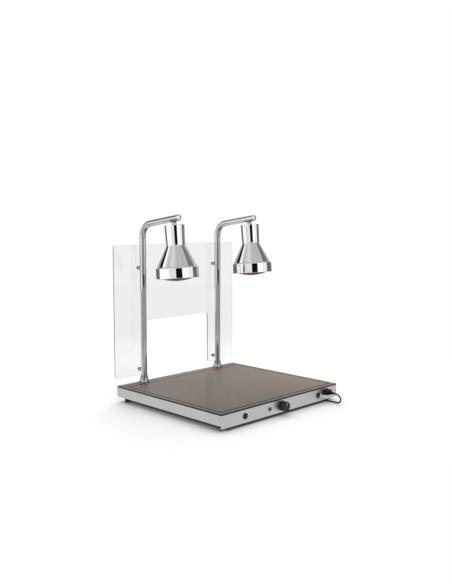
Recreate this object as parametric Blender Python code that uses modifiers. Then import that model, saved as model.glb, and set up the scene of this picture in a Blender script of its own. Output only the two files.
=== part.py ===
# Two-lamp heated carving station: stainless base with a glass hot plate,
# two bent tube posts, two tilting and swivelling heat lamps, clear rear guard.
#
# Metres, +Z up, +X to the operator's right, -Y towards the operator (front panel side).
# Origin: centre of the object's outline on the standing surface, z = 0.

import math

import bmesh
import bpy
from mathutils import Matrix, Vector

# ---------------------------------------------------------------- driving dimensions
GAP = 0.0003            # gap left between touching pieces
HALF_W = 0.325          # half width of the base and plate
Y_FRONT = -0.2885       # outer face of the front panel
Y_REAR = 0.2965         # rear edge of the base and plate
SHEET = 0.0015          # steel sheet thickness
Z_PANEL = 0.012         # lower edge of the front panel
Z_WALL = 0.0225         # lower edge of the side and rear walls
Z_STEEL = 0.0592        # top of the steel work
Z_GLASS = 0.0605        # underside of the glass
Z_TOP = 0.0645          # top of the glass
POST_X = 0.207          # posts at +-POST_X
POST_Y = 0.274
TUBE_R = 0.0125
TUBE_WALL = 0.0015
BEND_R = 0.057          # bend radius of the post, at its centre line
ARM_RISE = math.radians(7.6)
ARM_TIP_Y = 0.0575      # end of the straight tube
ARM_TIP_Z = 0.725
PIVOT_Y = 0.082         # tilt axis of the lamps
PIVOT_Z = 0.7035
LAMP_TILT = math.radians(5.0)
LAMP_TOP = -0.0060      # neck top below the pivot, along the lamp axis
LAMP_LEN = 0.2005       # neck top to rim
GUARD_Y = 0.302         # front face of the guard
GUARD_T = 0.004
GUARD_HALF = 0.329
GUARD_Z0 = 0.0888
GUARD_Z1 = 0.6178
WINDOW_HALF = 0.1727
WINDOW_Z = 0.3108
STANDOFF_Z = (0.1135, 0.5255)
KNOB_X = -0.009
KNOB_R = 0.019
Y_KNOB = -0.3135        # front of the knob
PILOT_X = -0.077
CONTROL_Z = 0.036
SWITCH_X = 0.206
INLET_X = 0.2525
INLET_Z = 0.043
CORD_D = 0.006
CORD_Z = 0.0031
COIL_C = (0.190, 0.350)
COIL_IN, COIL_OUT = 0.024, 0.042

# ---------------------------------------------------------------- scene and collections
for old in list(bpy.data.objects):
    bpy.data.objects.remove(old, do_unlink=True)
parts = bpy.data.collections.new("heat_lamp_warmer")
cutters = bpy.data.collections.new("cutters")
for col in (parts, cutters):
    bpy.context.scene.collection.children.link(col)


def material(name, rgb, rough, metal=0.0, alpha=1.0, trans=0.0):
    m = bpy.data.materials.new(name)
    m.use_nodes = True
    b = m.node_tree.nodes["Principled BSDF"]
    b.inputs["Base Color"].default_value = (*rgb, 1.0)
    b.inputs["Roughness"].default_value = rough
    b.inputs["Metallic"].default_value = metal
    b.inputs["Alpha"].default_value = alpha
    b.inputs["Transmission Weight"].default_value = trans
    m.diffuse_color = (*rgb, alpha)
    return m


LOOKS = {
    "steel": ((0.55, 0.55, 0.54), 0.32, 1.0),
    "chrome": ((0.86, 0.87, 0.88), 0.05, 1.0),
    "glass": ((0.16, 0.12, 0.10), 0.12, 0.0),
    "clear": ((0.90, 0.92, 0.92), 0.05, 0.0, 0.3, 1.0),
    "rubber": ((0.02, 0.02, 0.02), 0.75, 0.0),
    "plastic": ((0.02, 0.02, 0.022), 0.42, 0.0),
    "white": ((0.8, 0.8, 0.78), 0.5, 0.0),
    "amber": ((0.35, 0.16, 0.06), 0.25, 0.0),
    "red": ((0.75, 0.12, 0.10), 0.15, 0.0),
    "brass": ((0.75, 0.6, 0.3), 0.3, 1.0),
    "zinc": ((0.6, 0.6, 0.58), 0.4, 1.0),
    "ceramic": ((0.86, 0.84, 0.79), 0.35, 0.0),
    "silicone": ((0.55, 0.2, 0.1), 0.6, 0.0),
    "board": ((0.75, 0.73, 0.68), 0.9, 0.0),
}


def finish(ob, look, smooth=None):
    m = material(ob.name + "_mat", *LOOKS[look])
    ob.data.materials.clear()
    ob.data.materials.append(m)
    if smooth is not None and isinstance(ob.data, bpy.types.Mesh):
        ob.data.shade_smooth()
        ob.data.set_sharp_from_angle(angle=math.radians(smooth))
    return ob


def link(ob, cut=False):
    (cutters if cut else parts).objects.link(ob)
    if cut:
        ob.hide_render = True
        ob.display_type = "WIRE"
    return ob


def mesh_object(name, bm, cut=False):
    me = bpy.data.meshes.new(name)
    bm.to_mesh(me)
    bm.free()
    return link(bpy.data.objects.new(name, me), cut)


def box_bm(bm, lo, hi):
    """A block between two corners, added to bm as a closed body."""
    lo, hi = Vector(lo), Vector(hi)
    m = Matrix.Translation((lo + hi) / 2) @ Matrix.Diagonal((*(hi - lo), 1.0))
    return bmesh.ops.create_cube(bm, size=1.0, matrix=m)["verts"]


def rod_bm(bm, p0, p1, r0, r1=None, seg=16):
    """A cylinder or cone from p0 to p1, added to bm as a closed body."""
    p0, p1 = Vector(p0), Vector(p1)
    d = p1 - p0
    q = d.to_track_quat("Z", "Y").to_matrix().to_4x4()
    m = Matrix.Translation((p0 + p1) / 2) @ q
    return bmesh.ops.create_cone(bm, cap_ends=True, segments=seg, radius1=r0,
                                 radius2=r0 if r1 is None else r1, depth=d.length, matrix=m)["verts"]


def box(name, lo, hi, bevel=0.0, cut=False, seg=1):
    bm = bmesh.new()
    box_bm(bm, lo, hi)
    ob = mesh_object(name, bm, cut)
    if bevel:
        b = ob.modifiers.new("bevel", "BEVEL")
        b.width = bevel
        b.segments = seg
        b.limit_method = "ANGLE"
    return ob


def rod(name, p0, p1, r0, r1=None, seg=16, cut=False):
    bm = bmesh.new()
    rod_bm(bm, p0, p1, r0, r1, seg)
    return mesh_object(name, bm, cut)


def turned(name, profile, steps, closed, at=(0, 0, 0), axis=(0, 0, 1), parent=None):
    """A profile of (radius, height) turned about its own Z. It runs down the outer side."""
    bm = bmesh.new()
    vs = [bm.verts.new((r, 0.0, z)) for r, z in profile]
    for a, b in zip(vs, vs[1:]):
        bm.edges.new((a, b))
    if closed:
        bm.edges.new((vs[-1], vs[0]))
    ob = mesh_object(name, bm)
    s = ob.modifiers.new("turn", "SCREW")
    s.axis = "Z"
    s.steps = steps
    s.render_steps = steps
    s.use_merge_vertices = True
    s.merge_threshold = 0.00001
    s.use_smooth_shade = True
    ob.location = at
    ob.rotation_mode = "QUATERNION"
    ob.rotation_quaternion = Vector(axis).to_track_quat("Z", "Y") if Vector(axis).normalized() != Vector((0, 0, 1)) else (1, 0, 0, 0)
    if parent is not None:
        ob.parent = parent
    return ob


def boolean(ob, cutter, op="DIFFERENCE"):
    m = ob.modifiers.new(op.lower(), "BOOLEAN")
    m.operation = op
    m.solver = "EXACT"
    m.object = cutter
    return m


def baked(ob):
    """Replaces an object's mesh with its evaluated mesh, so that later steps start from it."""
    dg = bpy.context.evaluated_depsgraph_get()
    dg.update()
    me = bpy.data.meshes.new_from_object(ob.evaluated_get(dg))
    bm = bmesh.new()
    bm.from_mesh(me)
    bmesh.ops.remove_doubles(bm, verts=bm.verts, dist=0.000002)
    bm.to_mesh(me)
    bm.free()
    ob.modifiers.clear()
    ob.data = me
    return ob


def sweep_mesh(name, pts, radius, res, caps=True, cut=False):
    """A round bar or an open tube surface along pts, as a mesh."""
    cu = bpy.data.curves.new(name + "_path", "CURVE")
    cu.dimensions = "3D"
    cu.bevel_depth = radius
    cu.bevel_resolution = res
    cu.use_fill_caps = caps
    sp = cu.splines.new("POLY")
    sp.points.add(len(pts) - 1)
    for p, q in zip(sp.points, pts):
        p.co = (*q, 1.0)
    tmp = bpy.data.objects.new(name + "_curve", cu)
    parts.objects.link(tmp)
    dg = bpy.context.evaluated_depsgraph_get()
    dg.update()
    me = bpy.data.meshes.new_from_object(tmp.evaluated_get(dg))
    me.name = name
    mw = tmp.matrix_world.copy()
    bpy.data.objects.remove(tmp, do_unlink=True)
    bm = bmesh.new()
    bm.from_mesh(me)
    bmesh.ops.remove_doubles(bm, verts=bm.verts, dist=0.00001)
    bm.to_mesh(me)
    bm.free()
    ob = link(bpy.data.objects.new(name, me), cut)
    ob.matrix_world = mw
    return ob


def empty(name, at, rot=(0, 0, 0), parent=None):
    e = bpy.data.objects.new(name, None)
    e.location = at
    e.rotation_euler = rot
    if parent is not None:
        e.parent = parent
    parts.objects.link(e)
    return e


def smooth_path(keys, step):
    """Points every step along a smooth curve through keys (centripetal Catmull-Rom)."""
    P = [Vector(k) for k in keys]
    P = [P[0] * 2 - P[1]] + P + [P[-1] * 2 - P[-2]]
    dense = []
    for i in range(1, len(P) - 2):
        p0, p1, p2, p3 = P[i - 1:i + 3]
        t0 = 0.0
        t1 = t0 + math.sqrt((p1 - p0).length)
        t2 = t1 + math.sqrt((p2 - p1).length)
        t3 = t2 + math.sqrt((p3 - p2).length)
        for k in range(24):
            t = t1 + (t2 - t1) * k / 24
            a1 = p0 * ((t1 - t) / (t1 - t0)) + p1 * ((t - t0) / (t1 - t0))
            a2 = p1 * ((t2 - t) / (t2 - t1)) + p2 * ((t - t1) / (t2 - t1))
            a3 = p2 * ((t3 - t) / (t3 - t2)) + p3 * ((t - t2) / (t3 - t2))
            b1 = a1 * ((t2 - t) / (t2 - t0)) + a2 * ((t - t0) / (t2 - t0))
            b2 = a2 * ((t3 - t) / (t3 - t1)) + a3 * ((t - t1) / (t3 - t1))
            dense.append(b1 * ((t2 - t) / (t2 - t1)) + b2 * ((t - t1) / (t2 - t1)))
    dense.append(P[-2])
    lens = [0.0]
    for a, b in zip(dense, dense[1:]):
        lens.append(lens[-1] + (b - a).length)
    n = max(2, round(lens[-1] / step))
    out, j = [], 0
    for i in range(n + 1):
        s = lens[-1] * i / n
        while j < len(lens) - 2 and lens[j + 1] < s:
            j += 1
        f = (s - lens[j]) / max(1e-12, lens[j + 1] - lens[j])
        out.append(dense[j].lerp(dense[j + 1], min(1.0, f)))
    return out


# ---------------------------------------------------------------- base casing
# Side and rear walls with a top frame that carries the glass and a bottom lip for the cover.
wall_y0 = Y_FRONT + SHEET + GAP
housing = box("base_housing", (-HALF_W, wall_y0, Z_WALL), (HALF_W, Y_REAR, Z_STEEL))
boolean(housing, box("cut_cavity", (-HALF_W + SHEET, wall_y0 - 0.01, Z_WALL + SHEET),
                     (HALF_W - SHEET, Y_REAR - SHEET, Z_STEEL - SHEET), cut=True))
boolean(housing, box("cut_bottom", (-HALF_W + 0.018, wall_y0 - 0.01, Z_WALL - 0.01),
                     (HALF_W - 0.018, Y_REAR - 0.018, Z_WALL + 0.01), cut=True))
boolean(housing, box("cut_top", (-0.300, -0.262, Z_STEEL - 0.005), (0.300, 0.236, Z_STEEL + 0.005), cut=True))
bm = bmesh.new()
for sx in (-1, 1):
    rod_bm(bm, (sx * POST_X, POST_Y, Z_STEEL - 0.01), (sx * POST_X, POST_Y, Z_STEEL + 0.01), 0.0086, seg=16)
boolean(housing, mesh_object("cut_stud_holes", bm, cut=True))
finish(housing, "steel")

# Front panel: deeper than the walls, with a lip folded back along its lower edge.
panel = box("front_control_panel", (-HALF_W, Y_FRONT, Z_PANEL), (HALF_W, Y_FRONT + 0.012, Z_STEEL))
boolean(panel, box("cut_panel_back", (-HALF_W - 0.01, Y_FRONT + SHEET, Z_PANEL + SHEET),
                   (HALF_W + 0.01, Y_FRONT + 0.03, Z_STEEL + 0.01), cut=True))
bm = bmesh.new()
for x, r in ((-SWITCH_X, 0.0101), (SWITCH_X, 0.0101), (PILOT_X, 0.0056), (KNOB_X, 0.0050)):
    rod_bm(bm, (x, Y_FRONT - 0.01, CONTROL_Z), (x, Y_FRONT + 0.01, CONTROL_Z), r, seg=20)
box_bm(bm, (INLET_X - 0.0138, Y_FRONT - 0.01, INLET_Z - 0.0103), (INLET_X + 0.0138, Y_FRONT + 0.01, INLET_Z + 0.0103))
boolean(panel, mesh_object("cut_panel_holes", bm, cut=True))
finish(panel, "steel")

# Bottom cover under the lips, with two rows of vent slots.
cover_z0, cover_z1 = Z_WALL - GAP - 0.0012, Z_WALL - GAP
cover = box("bottom_cover", (-0.3225, -0.2745, cover_z0), (0.3225, 0.2940, cover_z1))
bm = bmesh.new()
for sy in (-1, 1):
    for i in range(7):
        x = (i - 3) * 0.036
        box_bm(bm, (x - 0.003, sy * 0.12 - 0.030, 0.015), (x + 0.003, sy * 0.12 + 0.030, 0.030))
boolean(cover, mesh_object("cut_cover", bm, cut=True))
finish(cover, "zinc")

# Rubber feet, hollow from below where their screws are sunk.
for name, x, y in (("foot_front_left", -0.297, -0.2595), ("foot_front_right", 0.297, -0.2595),
                   ("foot_rear_left", -0.297, 0.2665), ("foot_rear_right", 0.297, 0.2665)):
    foot = rod(name, (x, y, 0.0), (x, y, cover_z0 - GAP), 0.0105, 0.0125, seg=20)
    boolean(foot, rod("cut_" + name, (x, y, -0.01), (x, y, 0.008), 0.0052, seg=12, cut=True))
    finish(foot, "rubber", 40)

# Glass hot plate over the whole top, its bond line, the heating mat and the insulation.
glass = box("hot_plate_glass", (-HALF_W, Y_FRONT, Z_GLASS), (HALF_W, Y_REAR, Z_TOP), bevel=0.0006)
bm = bmesh.new()
for sx in (-1, 1):
    rod_bm(bm, (sx * POST_X, POST_Y, 0.05), (sx * POST_X, POST_Y, 0.08), 0.0086, seg=16)
boolean(glass, mesh_object("cut_glass_holes", bm, cut=True))
finish(glass, "glass")
seal = box("plate_seal", (-HALF_W + 0.0012, Y_FRONT + 0.0012, Z_STEEL + GAP),
           (HALF_W - 0.0012, Y_REAR - 0.0012, Z_GLASS - GAP))
boolean(seal, box("cut_seal", (-0.309, -0.272, 0.05), (0.309, 0.236, 0.07), cut=True))
bm = bmesh.new()
for sx in (-1, 1):
    rod_bm(bm, (sx * POST_X, POST_Y, 0.05), (sx * POST_X, POST_Y, 0.08), 0.0090, seg=12)
boolean(seal, mesh_object("cut_seal_holes", bm, cut=True))
finish(seal, "rubber")
finish(box("heating_mat", (-0.285, -0.245, 0.0580), (0.285, 0.222, Z_GLASS - GAP)), "silicone")
finish(box("insulation_board", (-0.285, -0.236, 0.0410), (0.285, 0.222, 0.0577)), "board")

# ---------------------------------------------------------------- controls
# Thermostat: body with a threaded bush behind the panel, shaft and knob on one axis.
thermostat = box("thermostat_body", (KNOB_X - 0.019, Y_FRONT + SHEET + GAP, 0.0248),
                 (KNOB_X + 0.019, -0.2500, 0.0470), bevel=0.0012)
boolean(thermostat, rod("join_bush", (KNOB_X, Y_FRONT - 0.0035, CONTROL_Z), (KNOB_X, -0.280, CONTROL_Z),
                        0.0045, seg=16, cut=True), "UNION")
boolean(thermostat, rod("cut_bush", (KNOB_X, Y_FRONT - 0.02, CONTROL_Z), (KNOB_X, -0.262, CONTROL_Z),
                        0.0033, seg=16, cut=True))
finish(thermostat, "zinc")

knob_axis = empty("knob_axis", (KNOB_X, Y_FRONT, CONTROL_Z), (math.radians(90), 0, 0))
# Under this empty, local +Z points out of the panel (world -Y) and local +Y points up.
L = Y_FRONT - Y_KNOB
shaft = rod("thermostat_shaft", (0, 0, -0.0255), (0, 0, 0.0160), 0.0030, seg=16)
shaft.parent = knob_axis
finish(shaft, "zinc")
# Fluted grip: a round skirt at the panel and a ribbed cap.
FLUTES = 12
cu = bpy.data.curves.new("knob_outline", "CURVE")
cu.dimensions = "2D"
cu.fill_mode = "BOTH"
cu.extrude = (L - 0.0060) / 2
sp = cu.splines.new("POLY")
sp.points.add(FLUTES * 4 - 1)
for i, p in enumerate(sp.points):
    a = 2 * math.pi * i / (FLUTES * 4)
    r = KNOB_R - 0.0004 - 0.0011 * (0.5 - 0.5 * math.cos(FLUTES * a))
    p.co = (r * math.cos(a), r * math.sin(a), 0, 1)
sp.use_cyclic_u = True
tmp = bpy.data.objects.new("knob_outline", cu)
parts.objects.link(tmp)
dg = bpy.context.evaluated_depsgraph_get()
dg.update()
me = bpy.data.meshes.new_from_object(tmp.evaluated_get(dg))
bpy.data.objects.remove(tmp, do_unlink=True)
bm = bmesh.new()
bm.from_mesh(me)
bmesh.ops.remove_doubles(bm, verts=bm.verts, dist=0.00001)
bmesh.ops.translate(bm, verts=bm.verts, vec=(0, 0, 0.0060 + (L - 0.0060) / 2))
knob = mesh_object("thermostat_knob", bm)
knob.parent = knob_axis
skirt = turned("join_knob_skirt", [(0, 0.0070), (KNOB_R - 0.0008, 0.0070), (KNOB_R, 0.0060), (KNOB_R, 0.0012), (0, 0.0012)],
               24, False, parent=knob_axis)
parts.objects.unlink(skirt)
link(skirt, True)
boolean(knob, skirt, "UNION")
bore = rod("cut_knob_bore", (0, 0, -0.01), (0, 0, 0.0165), 0.0032, seg=16, cut=True)
bore.parent = knob_axis
boolean(knob, bore)
well = rod("cut_knob_well", (0, 0, -0.01), (0, 0, 0.0045), 0.0075, seg=16, cut=True)
well.parent = knob_axis
boolean(knob, well)
notch = box("cut_knob_notch", (-0.0010, 0.0040, L - 0.0008), (0.0010, 0.0165, L + 0.01), cut=True)
notch.parent = knob_axis
boolean(knob, notch)
finish(knob, "plastic", 30)
# Pilot light: bezel ring and a lens in it.
finish(turned("pilot_light_bezel", [(0.0075, 0.0006), (0.0075, 0.0), (0.0053, 0.0), (0.0053, -0.014),
                                    (0.0042, -0.014), (0.0042, 0.0014), (0.0062, 0.0020)],
              16, True, at=(PILOT_X, Y_FRONT - GAP, CONTROL_Z), axis=(0, -1, 0)), "plastic")
finish(turned("pilot_light_lens", [(0, 0.0032), (0.0022, 0.0030), (0.0036, 0.0022), (0.0039, 0.0012),
                                   (0.0039, -0.0120), (0, -0.0120)],
              16, False, at=(PILOT_X, Y_FRONT - GAP, CONTROL_Z), axis=(0, -1, 0)), "amber")

# Round rocker switches: bezel and body in one, rocker on an axis along X.
ROCK = math.radians(7)
for side, sx in (("left", -1), ("right", 1)):
    at = (sx * SWITCH_X, Y_FRONT - GAP, CONTROL_Z)
    finish(turned(side + "_switch_body", [(0, -0.0110), (0.0083, -0.0110), (0.0083, 0.0022), (0.0100, 0.0022), (0.0114, 0.0016),
                                          (0.0114, 0.0), (0.0098, 0.0), (0.0098, -0.0200), (0, -0.0200)],
                  20, False, at=at, axis=(0, -1, 0)), "plastic")
    ax = empty(side + "_rocker_axis", (sx * SWITCH_X, Y_FRONT + 0.0045, CONTROL_Z), (ROCK, 0, 0))
    # Rocker: an arc-backed pad with a shallow V face, cut from a round plug.
    rk = rod(side + "_switch_rocker", (0, 0.0045, 0), (0, -0.0090, 0), 0.0072, seg=24)
    rk.parent = ax
    for tag, sign in (("upper", 1), ("lower", -1)):
        bm = bmesh.new()
        vs = box_bm(bm, (-0.02, -0.02, min(0, sign * 0.03)), (0.02, 0, max(0, sign * 0.03)))
        bmesh.ops.transform(bm, matrix=Matrix.Translation((0, -0.0062, 0)) @ Matrix.Rotation(sign * math.radians(10), 4, "X"), verts=vs)
        vc = mesh_object("cut_" + side + "_" + tag, bm, cut=True)
        vc.parent = ax
        boolean(rk, vc)
    finish(rk, "plastic")

# Appliance inlet in the front panel, its flange outside.
inlet = box("power_inlet", (INLET_X - 0.0155, Y_FRONT - GAP - 0.0018, INLET_Z - 0.0118),
            (INLET_X + 0.0155, Y_FRONT - GAP, INLET_Z + 0.0118))
boolean(inlet, box("join_inlet_body", (INLET_X - 0.0135, Y_FRONT - GAP - 0.0009, INLET_Z - 0.0100),
                   (INLET_X + 0.0135, Y_FRONT + 0.0240, INLET_Z + 0.0100), cut=True), "UNION")
boolean(inlet, box("cut_inlet", (INLET_X - 0.0122, Y_FRONT - 0.02, INLET_Z - 0.0084),
                   (INLET_X + 0.0122, Y_FRONT + 0.0190, INLET_Z + 0.0084), cut=True))
finish(inlet, "plastic")

# Wiring from behind the inlet past the switches to the left post.
loom = smooth_path([(0.2520, -0.2610, 0.0400), (0.246, -0.2500, 0.036), (0.225, -0.2480, 0.031), (0.1490, -0.250, 0.029), (0.100, -0.250, 0.029), (0.040, -0.246, 0.029), (-0.040, -0.246, 0.029),
                    (-0.110, -0.244, 0.029), (-0.180, -0.225, 0.030), (-0.220, -0.120, 0.030), (-0.225, 0.05, 0.030),
                    (-0.216, 0.180, 0.030), (-0.209, 0.240, 0.0305), (-0.207, 0.262, 0.033), (-0.207, 0.2725, 0.0410)], 0.030)
finish(sweep_mesh("wiring_loom", loom, 0.0032, 1), "rubber", 50)

# ---------------------------------------------------------------- posts
corner_z = ARM_TIP_Z - math.tan(ARM_RISE) * (POST_Y - ARM_TIP_Y)
turn = math.pi / 2 - ARM_RISE
tangent = BEND_R * math.tan(turn / 2)
post_pts = [(0, POST_Y, Z_TOP + GAP + 0.0005), (0, POST_Y, 0.35)]
N_BEND = 7
for i in range(N_BEND + 1):
    a = turn * i / N_BEND
    post_pts.append((0, POST_Y - BEND_R * (1 - math.cos(a)), corner_z - tangent + BEND_R * math.sin(a)))
post_pts.append((0, ARM_TIP_Y, ARM_TIP_Z))
arm_dir = Vector((0, -math.cos(ARM_RISE), math.sin(ARM_RISE)))
arm_up = Vector((0, math.sin(ARM_RISE), math.cos(ARM_RISE)))
pivot = Vector((0, PIVOT_Y, PIVOT_Z))
tip = Vector((0, ARM_TIP_Y, ARM_TIP_Z))
for side, sx in (("left", -1), ("right", 1)):
    off = Vector((sx * POST_X, 0, 0))
    tube = sweep_mesh(side + "_post_tube", [Vector(p) + off for p in post_pts], TUBE_R, 6, caps=False)
    so = tube.modifiers.new("wall", "SOLIDIFY")
    so.thickness = TUBE_WALL
    so.offset = -1.0
    so.use_even_offset = True
    baked(tube)
    boolean(tube, rod("cut_" + side + "_stem_hole", off + pivot, off + pivot + arm_up * 0.012, 0.0049, seg=16, cut=True))
    bm = bmesh.new()
    for z in STANDOFF_Z:
        rod_bm(bm, off + Vector((0, POST_Y + 0.006, z)), off + Vector((0, POST_Y + 0.02, z)), 0.0029, seg=8)
    boolean(tube, mesh_object("cut_" + side + "_guard_holes", bm, cut=True))
    finish(tube, "chrome", 40)
    # trumpet flange around the foot of the tube
    r0, r1, h = 0.0212, 0.0146, 0.0285
    prof = [(TUBE_R + 0.0003, h), (r1 - 0.0006, h), (r1, h - 0.0008)]
    for i in range(1, 5):
        t = i / 5
        prof.append((r1 + (r0 - 0.0005 - r1) * t ** 2.6, h - 0.0008 - (h - 0.0034) * t))
    prof += [(r0, 0.0022), (r0, 0.0), (TUBE_R + 0.0003, 0.0)]
    fl = turned(side + "_post_flange", prof, 20, True, at=(sx * POST_X, POST_Y, Z_TOP + GAP))
    bm = bmesh.new()
    for az in (-135, -45, 90):
        d = Vector((math.cos(math.radians(az)), math.sin(math.radians(az)), 0))
        rod_bm(bm, d * 0.010 + Vector((0, 0, 0.0125)), d * 0.030 + Vector((0, 0, 0.0125)), 0.0024, seg=10)
    gc = mesh_object("cut_" + side + "_grub_holes", bm, cut=True)
    gc.location = (sx * POST_X, POST_Y, Z_TOP + GAP)
    boolean(fl, gc)
    finish(fl, "chrome")
    # domed end cap with a spigot in the tube
    R = TUBE_R
    cap = [(0, 0.0060)]
    for i in range(1, 4):
        a = math.pi / 2 * i / 4
        cap.append((R * math.sin(a), 0.0008 + 0.0052 * math.cos(a)))
    cap += [(R, 0.0008), (R, GAP), (R - TUBE_WALL - 0.0007, GAP), (R - TUBE_WALL - 0.0007, -0.010), (0, -0.010)]
    finish(turned(side + "_arm_cap", cap, 16, False, at=off + tip, axis=arm_dir), "chrome")

# Hollow studs fixed in the tubes, through the glass and the top frame, with a nut below.
for side, sx in (("left", -1), ("right", 1)):
    x = sx * POST_X
    stud = rod(side + "_post_stud", (x, POST_Y, Z_TOP + 0.0015), (x, POST_Y, Z_TOP + 0.0190), 0.0103, seg=16)
    boolean(stud, rod("join_" + side + "_thread", (x, POST_Y, 0.0450), (x, POST_Y, Z_TOP + 0.010), 0.0078, seg=16, cut=True), "UNION")
    boolean(stud, rod("cut_" + side + "_stud_bore", (x, POST_Y, 0.035), (x, POST_Y, 0.12), 0.0050, seg=12, cut=True))
    finish(stud, "zinc")
    nut = rod(side + "_post_nut", (x, POST_Y, 0.0485), (x, POST_Y, Z_STEEL - SHEET - GAP), 0.0135, seg=6)
    boolean(nut, rod("cut_" + side + "_post_nut", (x, POST_Y, 0.04), (x, POST_Y, 0.07), 0.0081, seg=16, cut=True))
    finish(nut, "zinc")

# ---------------------------------------------------------------- rear guard
guard = box("guard_panel", (-GUARD_HALF, GUARD_Y, GUARD_Z0), (GUARD_HALF, GUARD_Y + GUARD_T, GUARD_Z1))


def round_corners(ob, corners, radius, seg):
    """Rounds the edges along Y at the given (x, z) corners of a plate."""
    bm = bmesh.new()
    bm.from_mesh(ob.data)
    es = [e for e in bm.edges if abs(e.verts[0].co.x - e.verts[1].co.x) < 1e-6 and abs(e.verts[0].co.z - e.verts[1].co.z) < 1e-6
          and any(abs(e.verts[0].co.x - x) < 1e-4 and abs(e.verts[0].co.z - z) < 1e-4 for x, z in corners)]
    bmesh.ops.bevel(bm, geom=es, offset=radius, segments=seg, profile=0.5, affect="EDGES")
    bm.to_mesh(ob.data)
    bm.free()


boolean(guard, box("cut_window", (-WINDOW_HALF, GUARD_Y - 0.01, GUARD_Z0 - 0.05), (WINDOW_HALF, GUARD_Y + 0.02, WINDOW_Z), cut=True))
baked(guard)
round_corners(guard, [(sx * GUARD_HALF, z) for sx in (-1, 1) for z in (GUARD_Z0, GUARD_Z1)]
              + [(sx * WINDOW_HALF, z) for sx in (-1, 1) for z in (GUARD_Z0, WINDOW_Z)], 0.012, 4)
bm = bmesh.new()
for sx in (-1, 1):
    for z in STANDOFF_Z:
        rod_bm(bm, (sx * POST_X, GUARD_Y - 0.01, z), (sx * POST_X, GUARD_Y + 0.02, z), 0.0030, seg=10)
boolean(guard, mesh_object("cut_guard_holes", bm, cut=True))
finish(guard, "clear")
back = GUARD_Y + GUARD_T
for side, sx in (("left", -1), ("right", 1)):
    for level, z in zip(("lower", "upper"), STANDOFF_Z):
        x, tag = sx * POST_X, level + "_" + side
        st = rod("guard_standoff_" + tag, (x, POST_Y + TUBE_R + GAP, z), (x, GUARD_Y - GAP, z), 0.0075, seg=18)
        boolean(st, rod("cut_standoff_" + tag, (x, POST_Y, z), (x, GUARD_Y + 0.02, z), 0.0029, seg=10, cut=True))
        finish(st, "chrome", 40)
        # domed cap screw behind the guard, its shank through the spacer into the tube wall
        sc = rod("guard_screw_" + tag, (x, back + GAP, z), (x, 0.3135, z), 0.0072, 0.0046, seg=16)
        boolean(sc, rod("join_screw_" + tag, (x, POST_Y + 0.0075, z), (x, 0.3100, z), 0.0025, seg=8, cut=True), "UNION")
        finish(sc, "chrome", 40)

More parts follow.
